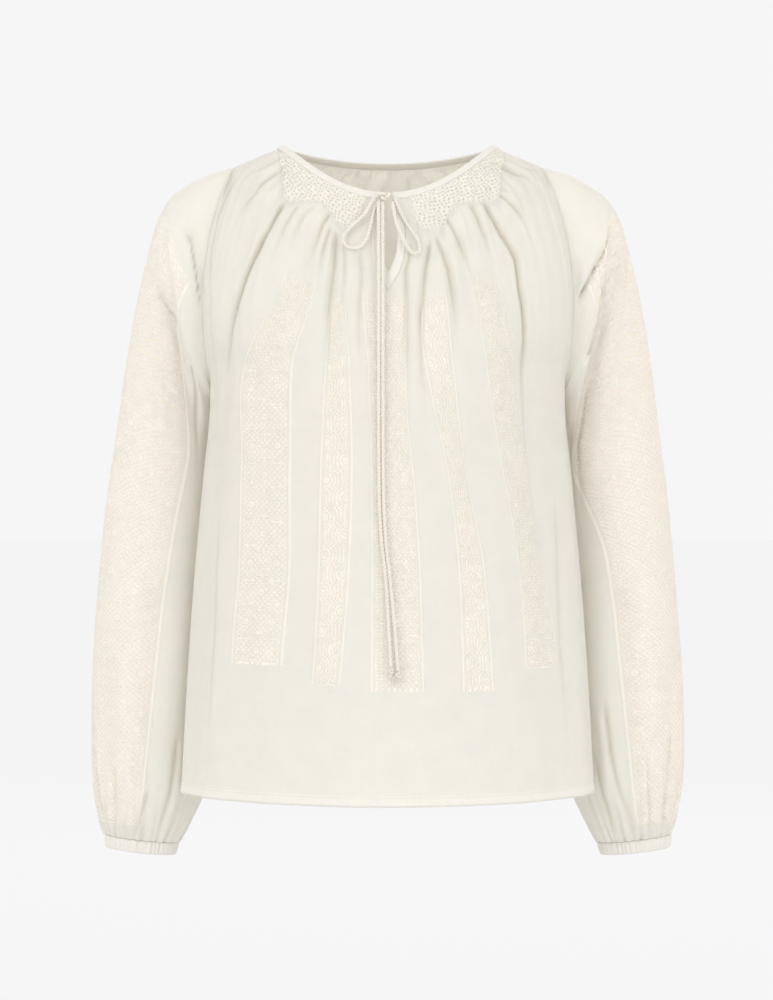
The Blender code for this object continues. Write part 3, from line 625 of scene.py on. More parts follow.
def made(name, grids, *materials, flip=False, thick=None, weld=0.0, capped=False, panels=None):
    """A mesh piece from grids of (points, u, v), as a shell if thick is given. u and v are metres of flat cloth.

    panels is a function from the two place numbers that each grid then has too, at the corners of each face. It
    gives the corners' places on an embroidered panel, how far inside the panel's ends they are, how much painted crease
    shade they take, and the material.
    The inside of a shell has the last material.
    """
    corners, faces, places, spots, start = [], [], [], [], 0
    for points, u, v, *spot in grids:
        rows, wide = points.shape[:2]
        number = np.arange(rows * wide).reshape(rows, wide) + start
        quads = np.stack((number[:-1, :-1], number[1:, :-1], number[1:, 1:], number[:-1, 1:]), axis=-1).reshape(-1, 4)
        faces.append(quads[:, ::-1] if flip else quads)
        corners.append(points.reshape(-1, 3))
        places.append(np.stack(np.broadcast_arrays(u, v), axis=-1).reshape(-1, 2))
        spots.append(np.stack(np.broadcast_arrays(*spot), axis=-1).reshape(-1, 2) if panels else places[-1])
        start += rows * wide
    corners, faces, places, spots = (np.concatenate(parts) for parts in (corners, faces, places, spots))
    mesh = bpy.data.meshes.new(name)
    mesh.from_pydata(corners.tolist(), [], faces.tolist())
    layer = mesh.uv_layers.new(name="cloth")
    layer.data.foreach_set("uv", places[faces.ravel()].astype(np.float32).ravel())
    for material in materials:
        mesh.materials.append(material)
    if panels:
        on_panel, trims, painted_crease_shade, slots = panels(*np.moveaxis(spots[faces], -1, 0))
        for layer_name, values in (("panel", on_panel), ("trim", trims), ("fold", np.stack((painted_crease_shade, painted_crease_shade), axis=-1))):
            layer = mesh.uv_layers.new(name=layer_name)
            layer.data.foreach_set("uv", values.astype(np.float32).ravel())
        mesh.polygons.foreach_set("material_index", slots.astype(np.int32))
    if weld:
        bm = bmesh.new()
        bm.from_mesh(mesh)
        bmesh.ops.remove_doubles(bm, verts=bm.verts, dist=weld)
        if capped:
            bmesh.ops.holes_fill(bm, edges=[edge for edge in bm.edges if edge.is_boundary], sides=0)
        bm.to_mesh(mesh)
        bm.free()
    mesh.shade_smooth()
    piece = bpy.data.objects.new(name, mesh)
    bpy.context.scene.collection.objects.link(piece)
    if thick:
        shell = piece.modifiers.new("thickness", "SOLIDIFY")
        shell.thickness, shell.offset = thick, -1
        shell.material_offset = shell.material_offset_rim = len(materials) - 1
        solid = bpy.data.meshes.new_from_object(piece.evaluated_get(bpy.context.evaluated_depsgraph_get()))
        piece.modifiers.clear()
        piece.data = solid
        bpy.data.meshes.remove(mesh)
        solid.name = name
    return piece


def placed(piece, slot, *nodes):
    """Rides a piece on the blouse's one body, in place of its CAD nodes."""
    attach(piece, "root")
    if nodes:
        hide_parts(*nodes)
    return piece


# ---- Materials ----
class Wire:
    """A value in a material's node tree. Arithmetic on it adds Math nodes."""

    def __init__(self, tree, socket):
        self.tree, self.socket = tree, socket

    def math(self, operation, *others, swap=False):
        node = self.tree.nodes.new("ShaderNodeMath")
        node.operation = operation
        values = (*others, self) if swap else (self, *others)
        for socket, value in zip(node.inputs, values):
            if isinstance(value, Wire):
                self.tree.links.new(value.socket, socket)
            else:
                socket.default_value = value
        return Wire(self.tree, node.outputs[0])

    def __add__(self, other):
        return self.math("ADD", other)

    def __sub__(self, other):
        return self.math("SUBTRACT", other)

    def __rsub__(self, other):
        return self.math("SUBTRACT", other, swap=True)

    def __mul__(self, other):
        return self.math("MULTIPLY", other)

    def __truediv__(self, other):
        return self.math("DIVIDE", other)

    __radd__, __rmul__ = __add__, __mul__

    def part(self):
        return self.math("FRACT")

    def whole(self):
        return self.math("FLOOR")

    def size(self):
        return self.math("ABSOLUTE")

    def sine(self):
        return (self * (2 * math.pi)).math("SINE")

    def least(self, other):
        return self.math("MINIMUM", other)

    def most(self, other):
        return self.math("MAXIMUM", other)

    def power(self, other):
        return self.math("POWER", other)

    def eased(self, low, high):
        node = self.tree.nodes.new("ShaderNodeMapRange")
        node.interpolation_type = "SMOOTHSTEP"
        self.tree.links.new(self.socket, node.inputs["Value"])
        node.inputs["From Min"].default_value, node.inputs["From Max"].default_value = low, high
        return Wire(self.tree, node.outputs["Result"])


def joined(a, b, share):
    """One value that goes over into another."""
    return a + (b - a) * share


def noise(tree, u, v, detail=2.0):
    """Soft noise over the cloth, from 0 to 1. u and v are in units of its grain."""
    both = tree.nodes.new("ShaderNodeCombineXYZ")
    tree.links.new(u.socket, both.inputs["X"])
    tree.links.new(v.socket, both.inputs["Y"])
    grain = tree.nodes.new("ShaderNodeTexNoise")
    grain.noise_dimensions = "2D"
    grain.inputs["Scale"].default_value = 1.0
    grain.inputs["Detail"].default_value = detail
    tree.links.new(both.outputs["Vector"], grain.inputs["Vector"])
    return Wire(tree, grain.outputs["Fac"])


# Sizes of the embroidery's repeats, in metres.
RUNG_PITCH = 0.0030
STAR_WIDE, STAR_TALL = 0.0250, 0.0275
FEATHER_TALL, FEATHER_PITCH = 0.0350, 0.0031
TOOTH_WIDE, TOOTH_PITCH = 0.0110, 0.0040
SLEEVE_LINES = (0.1600, 0.1668, 0.1892, 0.1960)  # places of the pale lines, down the sleeve's embroidery


def lattice(u, v, wide, tall):
    """Places in a lattice of cells, every second row shifted by half a cell: x and y from -0.5 to 0.5 in a cell."""
    row = v / tall
    x = (u / wide + row.whole() * 0.5).part() - 0.5
    return x, row.part() - 0.5


def ringed(distance, rings, share=0.5, soft=0.16):
    """Bands of thread round a middle, at equal distances."""
    band = (distance * rings).part() - 0.5
    return 1 - band.size().eased(share / 2 - soft, share / 2 + soft)


def dashed(distance, aside, rings, dashes, share=0.55):
    """Bands of thread that are broken into short stitches."""
    gaps = 1 - ((aside * dashes).part() - 0.5).size().eased(0.30, 0.44)
    return ringed(distance, rings, share) * gaps


def laddered(u, v):
    """The diamonds of stars, beside a ladder of short level stitches."""
    rungs = ringed(v, 1 / RUNG_PITCH) * (1 - ((u / 0.0042).part() - 0.5).size().eased(0.30, 0.42))
    return joined(rungs, stars(u, v), u.eased(-0.0118, -0.0112))


def stars(u, v):
    """Diamonds of short slanted stitches, with a small ring in each, and rows of crosses between."""
    x, y = lattice(u + STAR_WIDE / 2, v, STAR_WIDE, STAR_TALL)
    wide, high = x.size(), y.size()
    slanted = dashed(wide + high, wide - high, 5.0, 5.0)
    ring = ringed((x * x + y * y).power(0.5), 7.0)
    field = joined(ring, slanted, (wide + high).eased(0.19, 0.22))
    cross_x, cross_y = lattice(u, v, 0.0062, 0.0055)
    crosses = 1 - cross_x.size().least(cross_y.size()).eased(0.09, 0.19)
    return joined(field, crosses, (wide + high).eased(0.72, 0.76))


def feathers(u, v):
    """Nested bars and arcs that lean by turns to the two sides."""
    tall = FEATHER_TALL
    half_rows = v / (tall / 2)
    side = (half_rows.whole() * 0.5).part() * 4 - 1
    x = (u + side * 0.0085).size()
    y = (half_rows.part() - 0.5) * (tall / 2)
    arcs = (x * x + y * y * 0.55).power(0.5)
    field = ringed(arcs, 1 / FEATHER_PITCH)
    slanted = ringed(u * side * 0.7 + y, 1 / FEATHER_PITCH)
    return joined(field, slanted, y.size().eased(tall * 0.165, tall * 0.185))


def diamonds(u, v):
    """Small outlined diamonds in rows, between dashes."""
    x, y = lattice(u, v, 0.0150, 0.0160)
    wide, high = x.size(), y.size()
    small = dashed((wide + high) * 0.5, wide - high, 6.0, 4.0, 0.52)
    fine_x, fine_y = lattice(u, v, 0.0050, 0.0052)
    crosses = ringed(fine_x.size().least(fine_y.size()), 2.0, 0.5, 0.2)
    return joined(small, crosses, (wide + high).eased(0.62, 0.70))


def sleeve_design(u, v):
    """Diamonds at the top, two toothed bands between pale lines, and stars below."""
    down = v * -1.0
    field = joined(diamonds(u, v), zigzag(u, v), down.eased(SLEEVE_LINES[0], SLEEVE_LINES[0] + 0.0006))
    field = joined(field, stars(u, v), down.eased(SLEEVE_LINES[-1], SLEEVE_LINES[-1] + 0.0006))
    lines = None
    for place in SLEEVE_LINES:
        line = 1 - (down - place).size().eased(0.0006, 0.0014)
        lines = line if lines is None else lines.most(line)
    return field.most(lines)


def zigzag(u, v):
    """A toothed band between two pale lines."""
    tooth = ((u / TOOTH_WIDE).part() - 0.5).size() * (2 * TOOTH_WIDE)
    return ringed(v + tooth, 1 / TOOTH_PITCH)


def uv_wires(tree, name):
    """The two numbers of a UV map."""
    flat = tree.nodes.new("ShaderNodeUVMap")
    flat.uv_map = name
    apart = tree.nodes.new("ShaderNodeSeparateXYZ")
    tree.links.new(flat.outputs["UV"], apart.inputs["Vector"])
    return Wire(tree, apart.outputs["X"]), Wire(tree, apart.outputs["Y"])


def principled(name, specular, sheen):
    """A new material, its node tree and its shader."""
    material = bpy.data.materials.new(name)
    material.use_nodes = True
    shader = material.node_tree.nodes["Principled BSDF"]
    shader.inputs["Metallic"].default_value = 0.0
    shader.inputs["Specular IOR Level"].default_value = specular
    shader.inputs["Sheen Weight"].default_value = sheen
    return material, material.node_tree, shader


def bumped(tree, shader, height):
    """Gives a shader relief of a height in metres."""
    bump = tree.nodes.new("ShaderNodeBump")
    bump.inputs["Distance"].default_value = 1.0
    bump.inputs["Strength"].default_value = 1.0
    tree.links.new(height.socket, bump.inputs["Height"])
    tree.links.new(bump.outputs["Normal"], shader.inputs["Normal"])


def stitched(tree, design, half):
    """Embroidery on a panel: its cover, its change of colour, partly the thread's paler tone and partly painted
    highlight on the thread and painted shade in the holes between stitches, and its height. Satin lines run down its
    two sides.
    """
    across, down = uv_wires(tree, "panel")
    top, bottom = uv_wires(tree, "trim")
    start = 0.020 if half < SLEEVE_PANEL_WIDE * 0.4 else 0.005
    held = top.eased(0.0, start) * bottom.eased(-0.0004, 0.0006)
    inside = held * (1 - across.size().eased(half - 0.0046, half - 0.0038))
    satin = held * (1 - (across.size() - half + 0.0014).size().eased(0.0006, 0.0014))
    uneven = noise(tree, across * 520.0, down * 520.0, 1.0).eased(0.28, 0.72)
    raised = design(across, down) * inside
    strand = ((across + down) / 0.0011).sine() * 0.5 + ((across - down) / 0.0013).sine() * 0.5
    height = raised * uneven * 0.00065 + strand * raised * 0.00012 + satin * 0.0004
    clusters = noise(tree, across * 110.0, down * 110.0, 2.0).eased(0.25, 0.70) * 0.4 + 0.6
    painted_hole_shade = noise(tree, across * 900.0 + 31.0, down * 900.0, 1.0).eased(0.50, 0.74)
    # Painted light: the raised thread and satin lines are painted lighter, partly their paler tone and partly painted
    # highlight, and specks between stitches are painted darker as painted shade in their holes.
    shade = (raised * (uneven * 0.8 + 0.2) * clusters * 0.40 - painted_hole_shade * 0.09 - 0.035) * inside + satin * 0.05
    return inside.most(satin), shade, height


def cloth(
    name, colour, thread=None, design=None, half=0.0, weave=0.00055, smocked=False, hem=None, clear=0.35, creased=True,
    pale=1.0,
):
    """A plain-woven cloth, which lets a share of the light through. A design adds raised thread, half a panel wide.

    Painted shade darkens and warms it along creases and in the pits of smocking, and pale scales its brightness. hem is
    metres down to the hem.
    """
    material, tree, shader = principled(name, 0.25, 0.12)
    shader.inputs["Sheen Roughness"].default_value = 0.45
    u, v = uv_wires(tree, "cloth")

    slub = noise(tree, u * 900.0, v * 60.0, 2.0) * 0.5 + noise(tree, u * 60.0, v * 900.0, 2.0) * 0.5
    patches = noise(tree, u * 45.0, v * 45.0, 3.0)
    yarn = (u / weave).sine() * (v / weave).sine()
    fold = uv_wires(tree, "fold")[0] if creased else None
    shade = (slub - 0.5) * 0.07 + (patches - 0.5) * 0.05 + yarn * 0.008 + pale
    if smocked:
        hold = uv_wires(tree, "trim")[0]
        # Painted shade in the pits of the smocking.
        fold = (1 - smocking_height(u, v)) * hold
        # Stripes of painted light and shade stand in for the smocking's fine pleats, and the held cloth is painted
        # about a tenth lighter as painted light.
        shade = shade + (u / 0.0023).sine() * hold * 0.012 + hold * 0.098
    # Painted shade: the cloth is painted darker along its creases and in the pits of the smocking.
    if fold:
        shade = shade - fold * 0.16
    height = slub * 0.00012 + yarn * 0.00002
    if hem:
        band = (v * -1.0).eased(hem - 0.0006, hem + 0.0004)
        stitching = 1 - ((v * -1.0) - hem - 0.0012).size().eased(0.0001, 0.0006)
        shade = shade + band * 0.045 - stitching * 0.05
        height = height - stitching * (u / 0.0022).sine().most(0.0) * 0.0003
    mix = patches.eased(0.3, 0.7)
    tint = (colour[0] * 1.004, colour[1] * 0.998, colour[2] * 0.985)
    if design is not None:
        mix, thread_shade, thread_height = stitched(tree, design, half)
        shade, height, tint = shade + thread_shade, height + thread_height, thread
    colours = tree.nodes.new("ShaderNodeMix")
    colours.data_type = "RGBA"
    colours.inputs[6].default_value = (*colour, 1)
    colours.inputs[7].default_value = (*tint, 1)
    tree.links.new(mix.socket, colours.inputs[0])
    tinted = tree.nodes.new("ShaderNodeVectorMath")
    tinted.operation = "MULTIPLY"
    shades = tree.nodes.new("ShaderNodeCombineXYZ")
    # The painted shade also warms the colour, more in the smocking's pits.
    for socket, warm in zip(shades.inputs, (0.0, 0.08, 0.17) if smocked else (0.0, 0.035, 0.085)):
        tree.links.new((shade - fold * warm if fold else shade).socket, socket)
    tree.links.new(colours.outputs[2], tinted.inputs[0])
    tree.links.new(shades.outputs[0], tinted.inputs[1])
    tree.links.new(tinted.outputs[0], shader.inputs["Base Color"])
    tree.links.new((patches * 0.10 + 0.85).socket, shader.inputs["Roughness"])
    bumped(tree, shader, height)
    through = tree.nodes.new("ShaderNodeBsdfTranslucent")
    tree.links.new(tinted.outputs[0], through.inputs["Color"])
    both = tree.nodes.new("ShaderNodeMixShader")
    both.inputs["Fac"].default_value = clear
    tree.links.new(shader.outputs["BSDF"], both.inputs[1])
    tree.links.new(through.outputs["BSDF"], both.inputs[2])
    tree.links.new(both.outputs["Shader"], tree.nodes["Material Output"].inputs["Surface"])
    return material


def smocking_height(u, v):
    """The honeycomb of smocking, from 0 in its pits to 1 on its folds. It works on numbers and in a material."""
    wired = isinstance(u, Wire)
    sine = Wire.sine if wired else lambda turns: np.sin(2 * math.pi * turns)
    across = u + sine(v / 0.0130 + u / 0.0210) * 0.0009 + sine(v / 0.0061 - u / 0.0083) * 0.0003
    down = v + sine(u / 0.0170 - v / 0.0240) * 0.0008 + sine(u / 0.0071 + v / 0.0093) * 0.0003
    hollow = sine(across / 0.0080 + down / 0.0066) * sine(across / 0.0080 - down / 0.0066) * -1.0
    hollow = hollow.most(0.0).power(2.0) if wired else np.maximum(hollow, 0.0) ** 2.0
    return 1 - hollow


# ---- Pieces ----
CUT_WIDTH = 0.30  # half of the flat width of the front and of the back, gathers let out
FLAT_DOWN = (0.0, 0.045, 0.190, 0.580)  # metres of cloth from the neck down to edges 0, 1, 2 and 3
HEM_START = 2.975  # edge of the hem's stitching
HEM_STEP = (2.972, 2.978)  # edges between which the cloth steps out over the turned hem
HEM_LIFT = 0.0005
SMOCKED_WIDTH = 0.185  # metres from the middle of the gathered neck to its side, as smocked
SMOCKING_DEPTH = 0.0014
SMOCKING_SUNK = 0.0014  # how far its rim is under the cloth
EMBROIDERY_LIFT = 0.00035  # how far the thread stands up from the cloth


def flat_down(edge):
    """Metres of cloth from the neck down to an edge."""
    return np.interp(edge, (0, 1, 2, 3), FLAT_DOWN)


def body_uv(edge, across):
    """Metres of flat cloth at places on the front or the back."""
    return across * CUT_WIDTH, -flat_down(edge)


def front_grids():
    """The front's two halves, which meet below the slit."""
    edges = run((0, 1, 46), (1, 2, 62), (2, HEM_STEP[0], 46), (*HEM_STEP, 3), (HEM_STEP[1], 3, 3))
    half = run((0, 0.60, 110), (0.60, 1, 38))
    grids = []
    for sign in (-1, 1):
        edge, across = grid(edges, half if sign > 0 else -half[::-1])
        lift = HEM_LIFT * eased(*HEM_STEP, edge)
        for rows in PANEL_SIDES.values():
            low, high = read(rows, np.clip(edge, rows[0][0], rows[-1][0]))
            inside = np.minimum(across - low, high - across) * 0.22
            ends = np.minimum(flat_down(edge) - flat_down(rows[0][0]), flat_down(rows[-1][0]) - flat_down(edge))
            lift = lift + EMBROIDERY_LIFT * eased(-0.001, 0.001, inside) * eased(0.0, 0.012, ends)
        grids.append((body_cloth(edge, across, -1, sign, lift), *body_uv(edge, across), edge, across))
    return grids


def front_panels(edge, across):
    """Which embroidered panel the corners of each face belong to, where they are on it, and how much painted crease
    shade they take.
    """
    middle, level = across.mean(axis=1), edge.mean(axis=1)
    nearest = np.full(len(middle), 1e9)
    on_panel, trims, slots = np.zeros((*edge.shape, 2)), np.zeros((*edge.shape, 2)), np.zeros(len(middle))
    for name, rows in PANEL_SIDES.items():
        design = PANEL_DESIGNS[name]
        wide = DESIGNS[design][2]
        first, last = rows[0][0], rows[-1][0]
        low, high = read(rows, np.clip(level, first, last))
        away = np.abs(middle - (low + high) / 2) - (high - low) / 2
        chosen = away < nearest
        nearest[chosen] = away[chosen]
        table = np.linspace(first, last, 120)
        line = body_cloth(table, sum(read(rows, table)) / 2, -1, 1)
        length = lengths(line)
        here = edge[chosen]
        low, high = read(rows, np.clip(here, first, last))
        on_panel[chosen] = np.stack(
            (((across[chosen] - low) / (high - low) - 0.5) * wide, -np.interp(here, table, length)), axis=-1
        )
        ends = (flat_down(here) - flat_down(first), flat_down(last) - flat_down(here))
        trims[chosen] = np.stack(ends, axis=-1)
        close = (away[chosen] < 0.03) & (np.minimum(*ends).max(axis=1) > -0.01)
        slots[chosen] = np.where(close, design + 1, 0)
    painted_crease_shade = creases_depth(FRONT_CREASES, across, edge, body_reach(edge, -1))[1]
    return on_panel, trims, painted_crease_shade, slots


def back_panels(edge, across):
    """The back has no embroidery, only the painted shade of its creases."""
    none = np.zeros((*edge.shape, 2))
    return none, none, creases_depth(BACK_CREASES, across, edge, body_reach(edge, 1))[1], np.zeros(len(edge))


def sleeve_sides(row, mirror):
    """The outer and inner side of a sleeve's embroidery, and its skew. It reaches further round the right sleeve."""
    outer, inner, skew = read(SLEEVE_PANEL_SIDES, np.clip(row, SLEEVE_PANEL_SIDES[0][0], SLEEVE_PANEL_SIDES[-1][0]))
    further = 0.055 * eased(3.0, 5.0, row) * eased(0.0, 2.5, 11.0 - row) if mirror > 0 else 0.0
    return outer, inner + further, skew


def sleeve_rows(ring, turn, mirror):
    """How far down the sleeve's embroidery a place is, as a row of its table, and its share from outer to inner."""
    row = ring
    for _ in range(14):
        outer, inner, skew = sleeve_sides(row, mirror)
        share = (turn - outer) / (inner - outer)
        row = ring - skew * (0.5 - np.clip(share, -0.3, 1.3))
    return row, share


def sleeve_panel(mirror):
    """A function that says where on the sleeve's embroidery the corners of faces are, and how much painted crease shade
    they take.
    """
    first, last = SLEEVE_PANEL_SIDES[0][0], SLEEVE_PANEL_SIDES[-1][0]
    table = np.linspace(first - 1.0, LAST_RING, 160)
    outer, inner, _ = sleeve_sides(table, mirror)
    line = sleeve_cloth(table, (outer + inner) / 2, mirror)
    length = lengths(line)
    start, end = np.interp((first, last), table, length)

    def panel(ring, turn):
        creases = RIGHT_CREASES if mirror > 0 else LEFT_CREASES
        painted_crease_shade = creases_depth(creases, turn, ring, sleeve_reach(ring))[1]
        turn = turn - np.round(turn.mean(axis=1, keepdims=True) - 0.12)
        row, share = sleeve_rows(ring, turn, mirror)
        down = np.interp(row, table, length)
        on_panel = np.stack(((share - 0.5) * SLEEVE_PANEL_WIDE, start - down), axis=-1)
        near = (np.abs(share - 0.5).min(axis=1) < 0.56) & (down.max(axis=1) > start - 0.01)
        return on_panel, np.stack((down - start, end - down), axis=-1), painted_crease_shade, np.where(near, 1, 0)

    return panel


def patch(edges, low, high, count, sign, lift):
    """A grid of points that lie on the front, from low to high across at each edge, with metres down its middle."""
    share = np.linspace(0, 1, count)[None, :]
    edge = np.broadcast_to(edges[:, None], (len(edges), count))
    across = low[:, None] * (1 - share) + high[:, None] * share
    points = body_cloth(edge, across, -1, sign, lift)
    middle = body_cloth(edges, (low + high) / 2, -1, sign)
    down = lengths(middle)
    return points, share, down


# Round the section of a folded band: how far up it, through its thickness, and how much its gathers show.
BAND_HALF = 0.0012
BAND_LOOP = tuple(
    (
        0.5 - 0.5 * math.copysign(abs(math.cos(angle)) ** 0.35, math.cos(angle)),
        math.copysign(abs(math.sin(angle)) ** 0.55, math.sin(angle)),
        max(math.sin(angle), 0.0) ** 0.5,
    )
    for angle in (2 * math.pi * k / 20 for k in range(21))
)


def voile(context, name="sleeve_voile", **details):
    """The cloth of the body, the sleeves or the smocking."""
    settings = context.scene.blouse_cloth
    return bpy.data.materials.get(name) or cloth(name, settings.colour, weave=settings.weave, **details)


def inner(context):
    """The inside of the cloth, painted paler than the outside: painted light, for the light that comes through the
    voile into the blouse.
    """
    settings = context.scene.blouse_cloth
    return bpy.data.materials.get("inside_voile") or cloth("inside_voile", settings.inside, clear=0.50, creased=False)


def folded(context):
    """The cloth of the binding, the facing and the cuffs, which is folded and lets less light through."""
    settings = context.scene.blouse_cloth
    return bpy.data.materials.get("binding_voile") or cloth(
        "binding_voile", settings.folded, clear=0.08, creased=False, pale=0.97
    )


def embroidered(context, name, design, half, **details):
    """The same cloth with a band of embroidery down it."""
    return voile(context, name, thread=context.scene.blouse_cloth.thread, design=design, half=half, **details)


def cord_finish(name, colour):
    """A softly shining twisted yarn, with fine fibres along its strands."""
    material, tree, shader = principled(name, 0.35, 0.3)
    along, round_it = uv_wires(tree, "cloth")
    fibre = noise(tree, along * 500.0, round_it * 3500.0, 2.0)
    ply = ((round_it + along * 0.6) / 0.0011).sine()
    height = fibre * 0.00010 + ply * 0.00005
    shade = (fibre - 0.5) * 0.14 + ply * 0.03 + 1.0
    tinted = tree.nodes.new("ShaderNodeVectorMath")
    tinted.operation = "SCALE"
    tinted.inputs[0].default_value = tuple(colour)
    tree.links.new(shade.socket, tinted.inputs["Scale"])
    tree.links.new(tinted.outputs[0], shader.inputs["Base Color"])
    tree.links.new((fibre * 0.2 + 0.55).socket, shader.inputs["Roughness"])
    bumped(tree, shader, height)
    return material


# ---- Cords ----
def smooth_route(route, step):
    """Points every step metres along a smooth curve through a route."""
    points = np.array(route)
    stops = lengths(points)
    at = np.linspace(0, stops[-1], round(stops[-1] / step) + 1)
    return stacked(*read(np.column_stack((stops, points)), at))


def knotted(centre, size, lean):
    """The route of a tight overhand knot, which starts and ends at its back."""
    turn = np.linspace(math.pi / 2 + 0.04, math.pi * 2.5 - 0.04, 150)
    wide, high = (np.sin(turn) + 2 * np.sin(2 * turn)) / 3, (np.cos(turn) - 2 * np.cos(2 * turn)) / 3
    x = size[0] * (wide * math.cos(lean) - high * math.sin(lean))
    z = size[2] * (wide * math.sin(lean) + high * math.cos(lean))
    return np.array(centre) + stacked(x, -size[1] * np.sin(3 * turn), z)


def frames(path):
    """Two ways square to a path at each of its points, which turn with it and don't twist."""
    along = unit(np.gradient(path, axis=0))
    first = np.cross(along[0], (0.31, 0.87, 0.38))
    sideways = [first / np.linalg.norm(first)]
    for way in along[1:]:
        carried = sideways[-1] - way * sideways[-1].dot(way)
        sideways.append(carried / np.linalg.norm(carried))
    sideways = np.array(sideways)
    return sideways, np.cross(along, sideways)


def tube_grid(path, radius, sides=8):
    """A grid round a path, with metres along it and round it."""
    a, b = frames(path)
    turn = np.linspace(0, 2 * math.pi, sides + 1)[None, :, None]
    radius = np.reshape(radius, (-1, 1, 1))
    points = path[:, None] + (a[:, None] * np.cos(turn) + b[:, None] * np.sin(turn)) * radius
    along = lengths(path)
    return points, along[:, None] + 0 * points[..., 0], turn[..., 0] * radius[..., 0] + 0 * points[..., 0]


def rope(name, path, material, twist, diameter):
    """A cord of two strands, twisted round each other along a path."""
    a, b = frames(path)
    along = lengths(path)
    grids = []
    for start in (0.0, math.pi):
        turn = (2 * math.pi * along / twist + start)[:, None]
        strand = path + (a * np.cos(turn) + b * np.sin(turn)) * diameter * 0.23
        grids.append(tube_grid(strand, diameter * 0.27))
    return made(name, grids, material, weld=1e-6, capped=True, flip=True)


def frayed(name, start, way, material, seed):
    """The loose yarns below the knot at an end of the tie."""
    random = np.random.default_rng(seed)
    grids = []
    for _ in range(16):
        lean = random.normal(0, 0.24, 3)
        share = np.linspace(0, 1, 9)[:, None]
        length = random.uniform(0.0045, 0.0075)
        path = np.array(start) + (np.array(way) + lean * share) * share * length + lean * 0.0022
        grids.append(tube_grid(path, 0.00038 * (1 - 0.6 * share[:, 0]), 5))
    return made(name, grids, material, weld=1e-7, capped=True, flip=True)


DESIGNS = (
    # the cloth's name, the design, and the panel's flat width
    ("starred_voile", stars, 0.050),
    ("feathered_voile", feathers, 0.030),
    ("laddered_voile", laddered, 0.050),
)
PANEL_DESIGNS = {
    "embroidery_outer_left": 0,
    "embroidery_inner_left": 1,
    "embroidery_middle": 2,
    "embroidery_inner_right": 1,
    "embroidery_outer_right": 0,
}


class BlouseCloth(bpy.types.PropertyGroup):
    """Sizes and colours of the cloth."""

    shell: bpy.props.FloatProperty(
        name="Cloth thickness", description="Thickness of the voile shell", default=0.0007, unit="LENGTH"
    )
    weave: bpy.props.FloatProperty(
        name="Weave", description="Distance from thread to thread", default=0.00055, unit="LENGTH"
    )
    colour: bpy.props.FloatVectorProperty(
        name="Voile", description="Colour of the plain cloth", default=(0.872, 0.852, 0.804), subtype="COLOR"
    )
    thread: bpy.props.FloatVectorProperty(
        name="Thread", description="Colour of the embroidery thread", default=(0.942, 0.898, 0.837), subtype="COLOR"
    )
    # The inside is painted paler than the voile: painted light inside the blouse.
    inside: bpy.props.FloatVectorProperty(
        name="Inside", description="Colour of the inside of the cloth", default=(0.945, 0.930, 0.890), subtype="COLOR"
    )
    folded: bpy.props.FloatVectorProperty(
        name="Folded cloth", description="Colour of bindings, cuffs and facing", default=(0.842, 0.810, 0.752),
        subtype="COLOR",
    )


class BlouseTie(bpy.types.PropertyGroup):
    """Sizes and colour of the tie."""

    twist: bpy.props.FloatProperty(
        name="Twist", description="Length of one turn of the cord's strands", default=0.0068, unit="LENGTH"
    )
    colour: bpy.props.FloatVectorProperty(
        name="Cord", description="Colour of the twisted cord", default=(0.815, 0.768, 0.694), subtype="COLOR"
    )


class BlouseStage(bpy.types.PropertyGroup):
    """The floor, the light and the camera."""

    pale: bpy.props.FloatProperty(
        name="Background", description="Brightness of the pale surround", default=0.921, min=0.0
    )
    key: bpy.props.FloatProperty(
        name="Key light", description="Power of the light at the left", default=14.5, unit="POWER"
    )
    fill: bpy.props.FloatProperty(
        name="Fill light", description="Power of the light at the right", default=13.5, unit="POWER"
    )
    front: bpy.props.FloatProperty(
        name="Front light", description="Power of the light in front", default=8.5, unit="POWER"
    )
    lens: bpy.props.FloatProperty(name="Lens", description="Focal length", default=100.2, unit="CAMERA")


FLOOR_DROP = 0.25  # metres from the blouse's lowest point down to the floor
CAMERA_PLACE = (-0.0015, -2.7, -0.342)


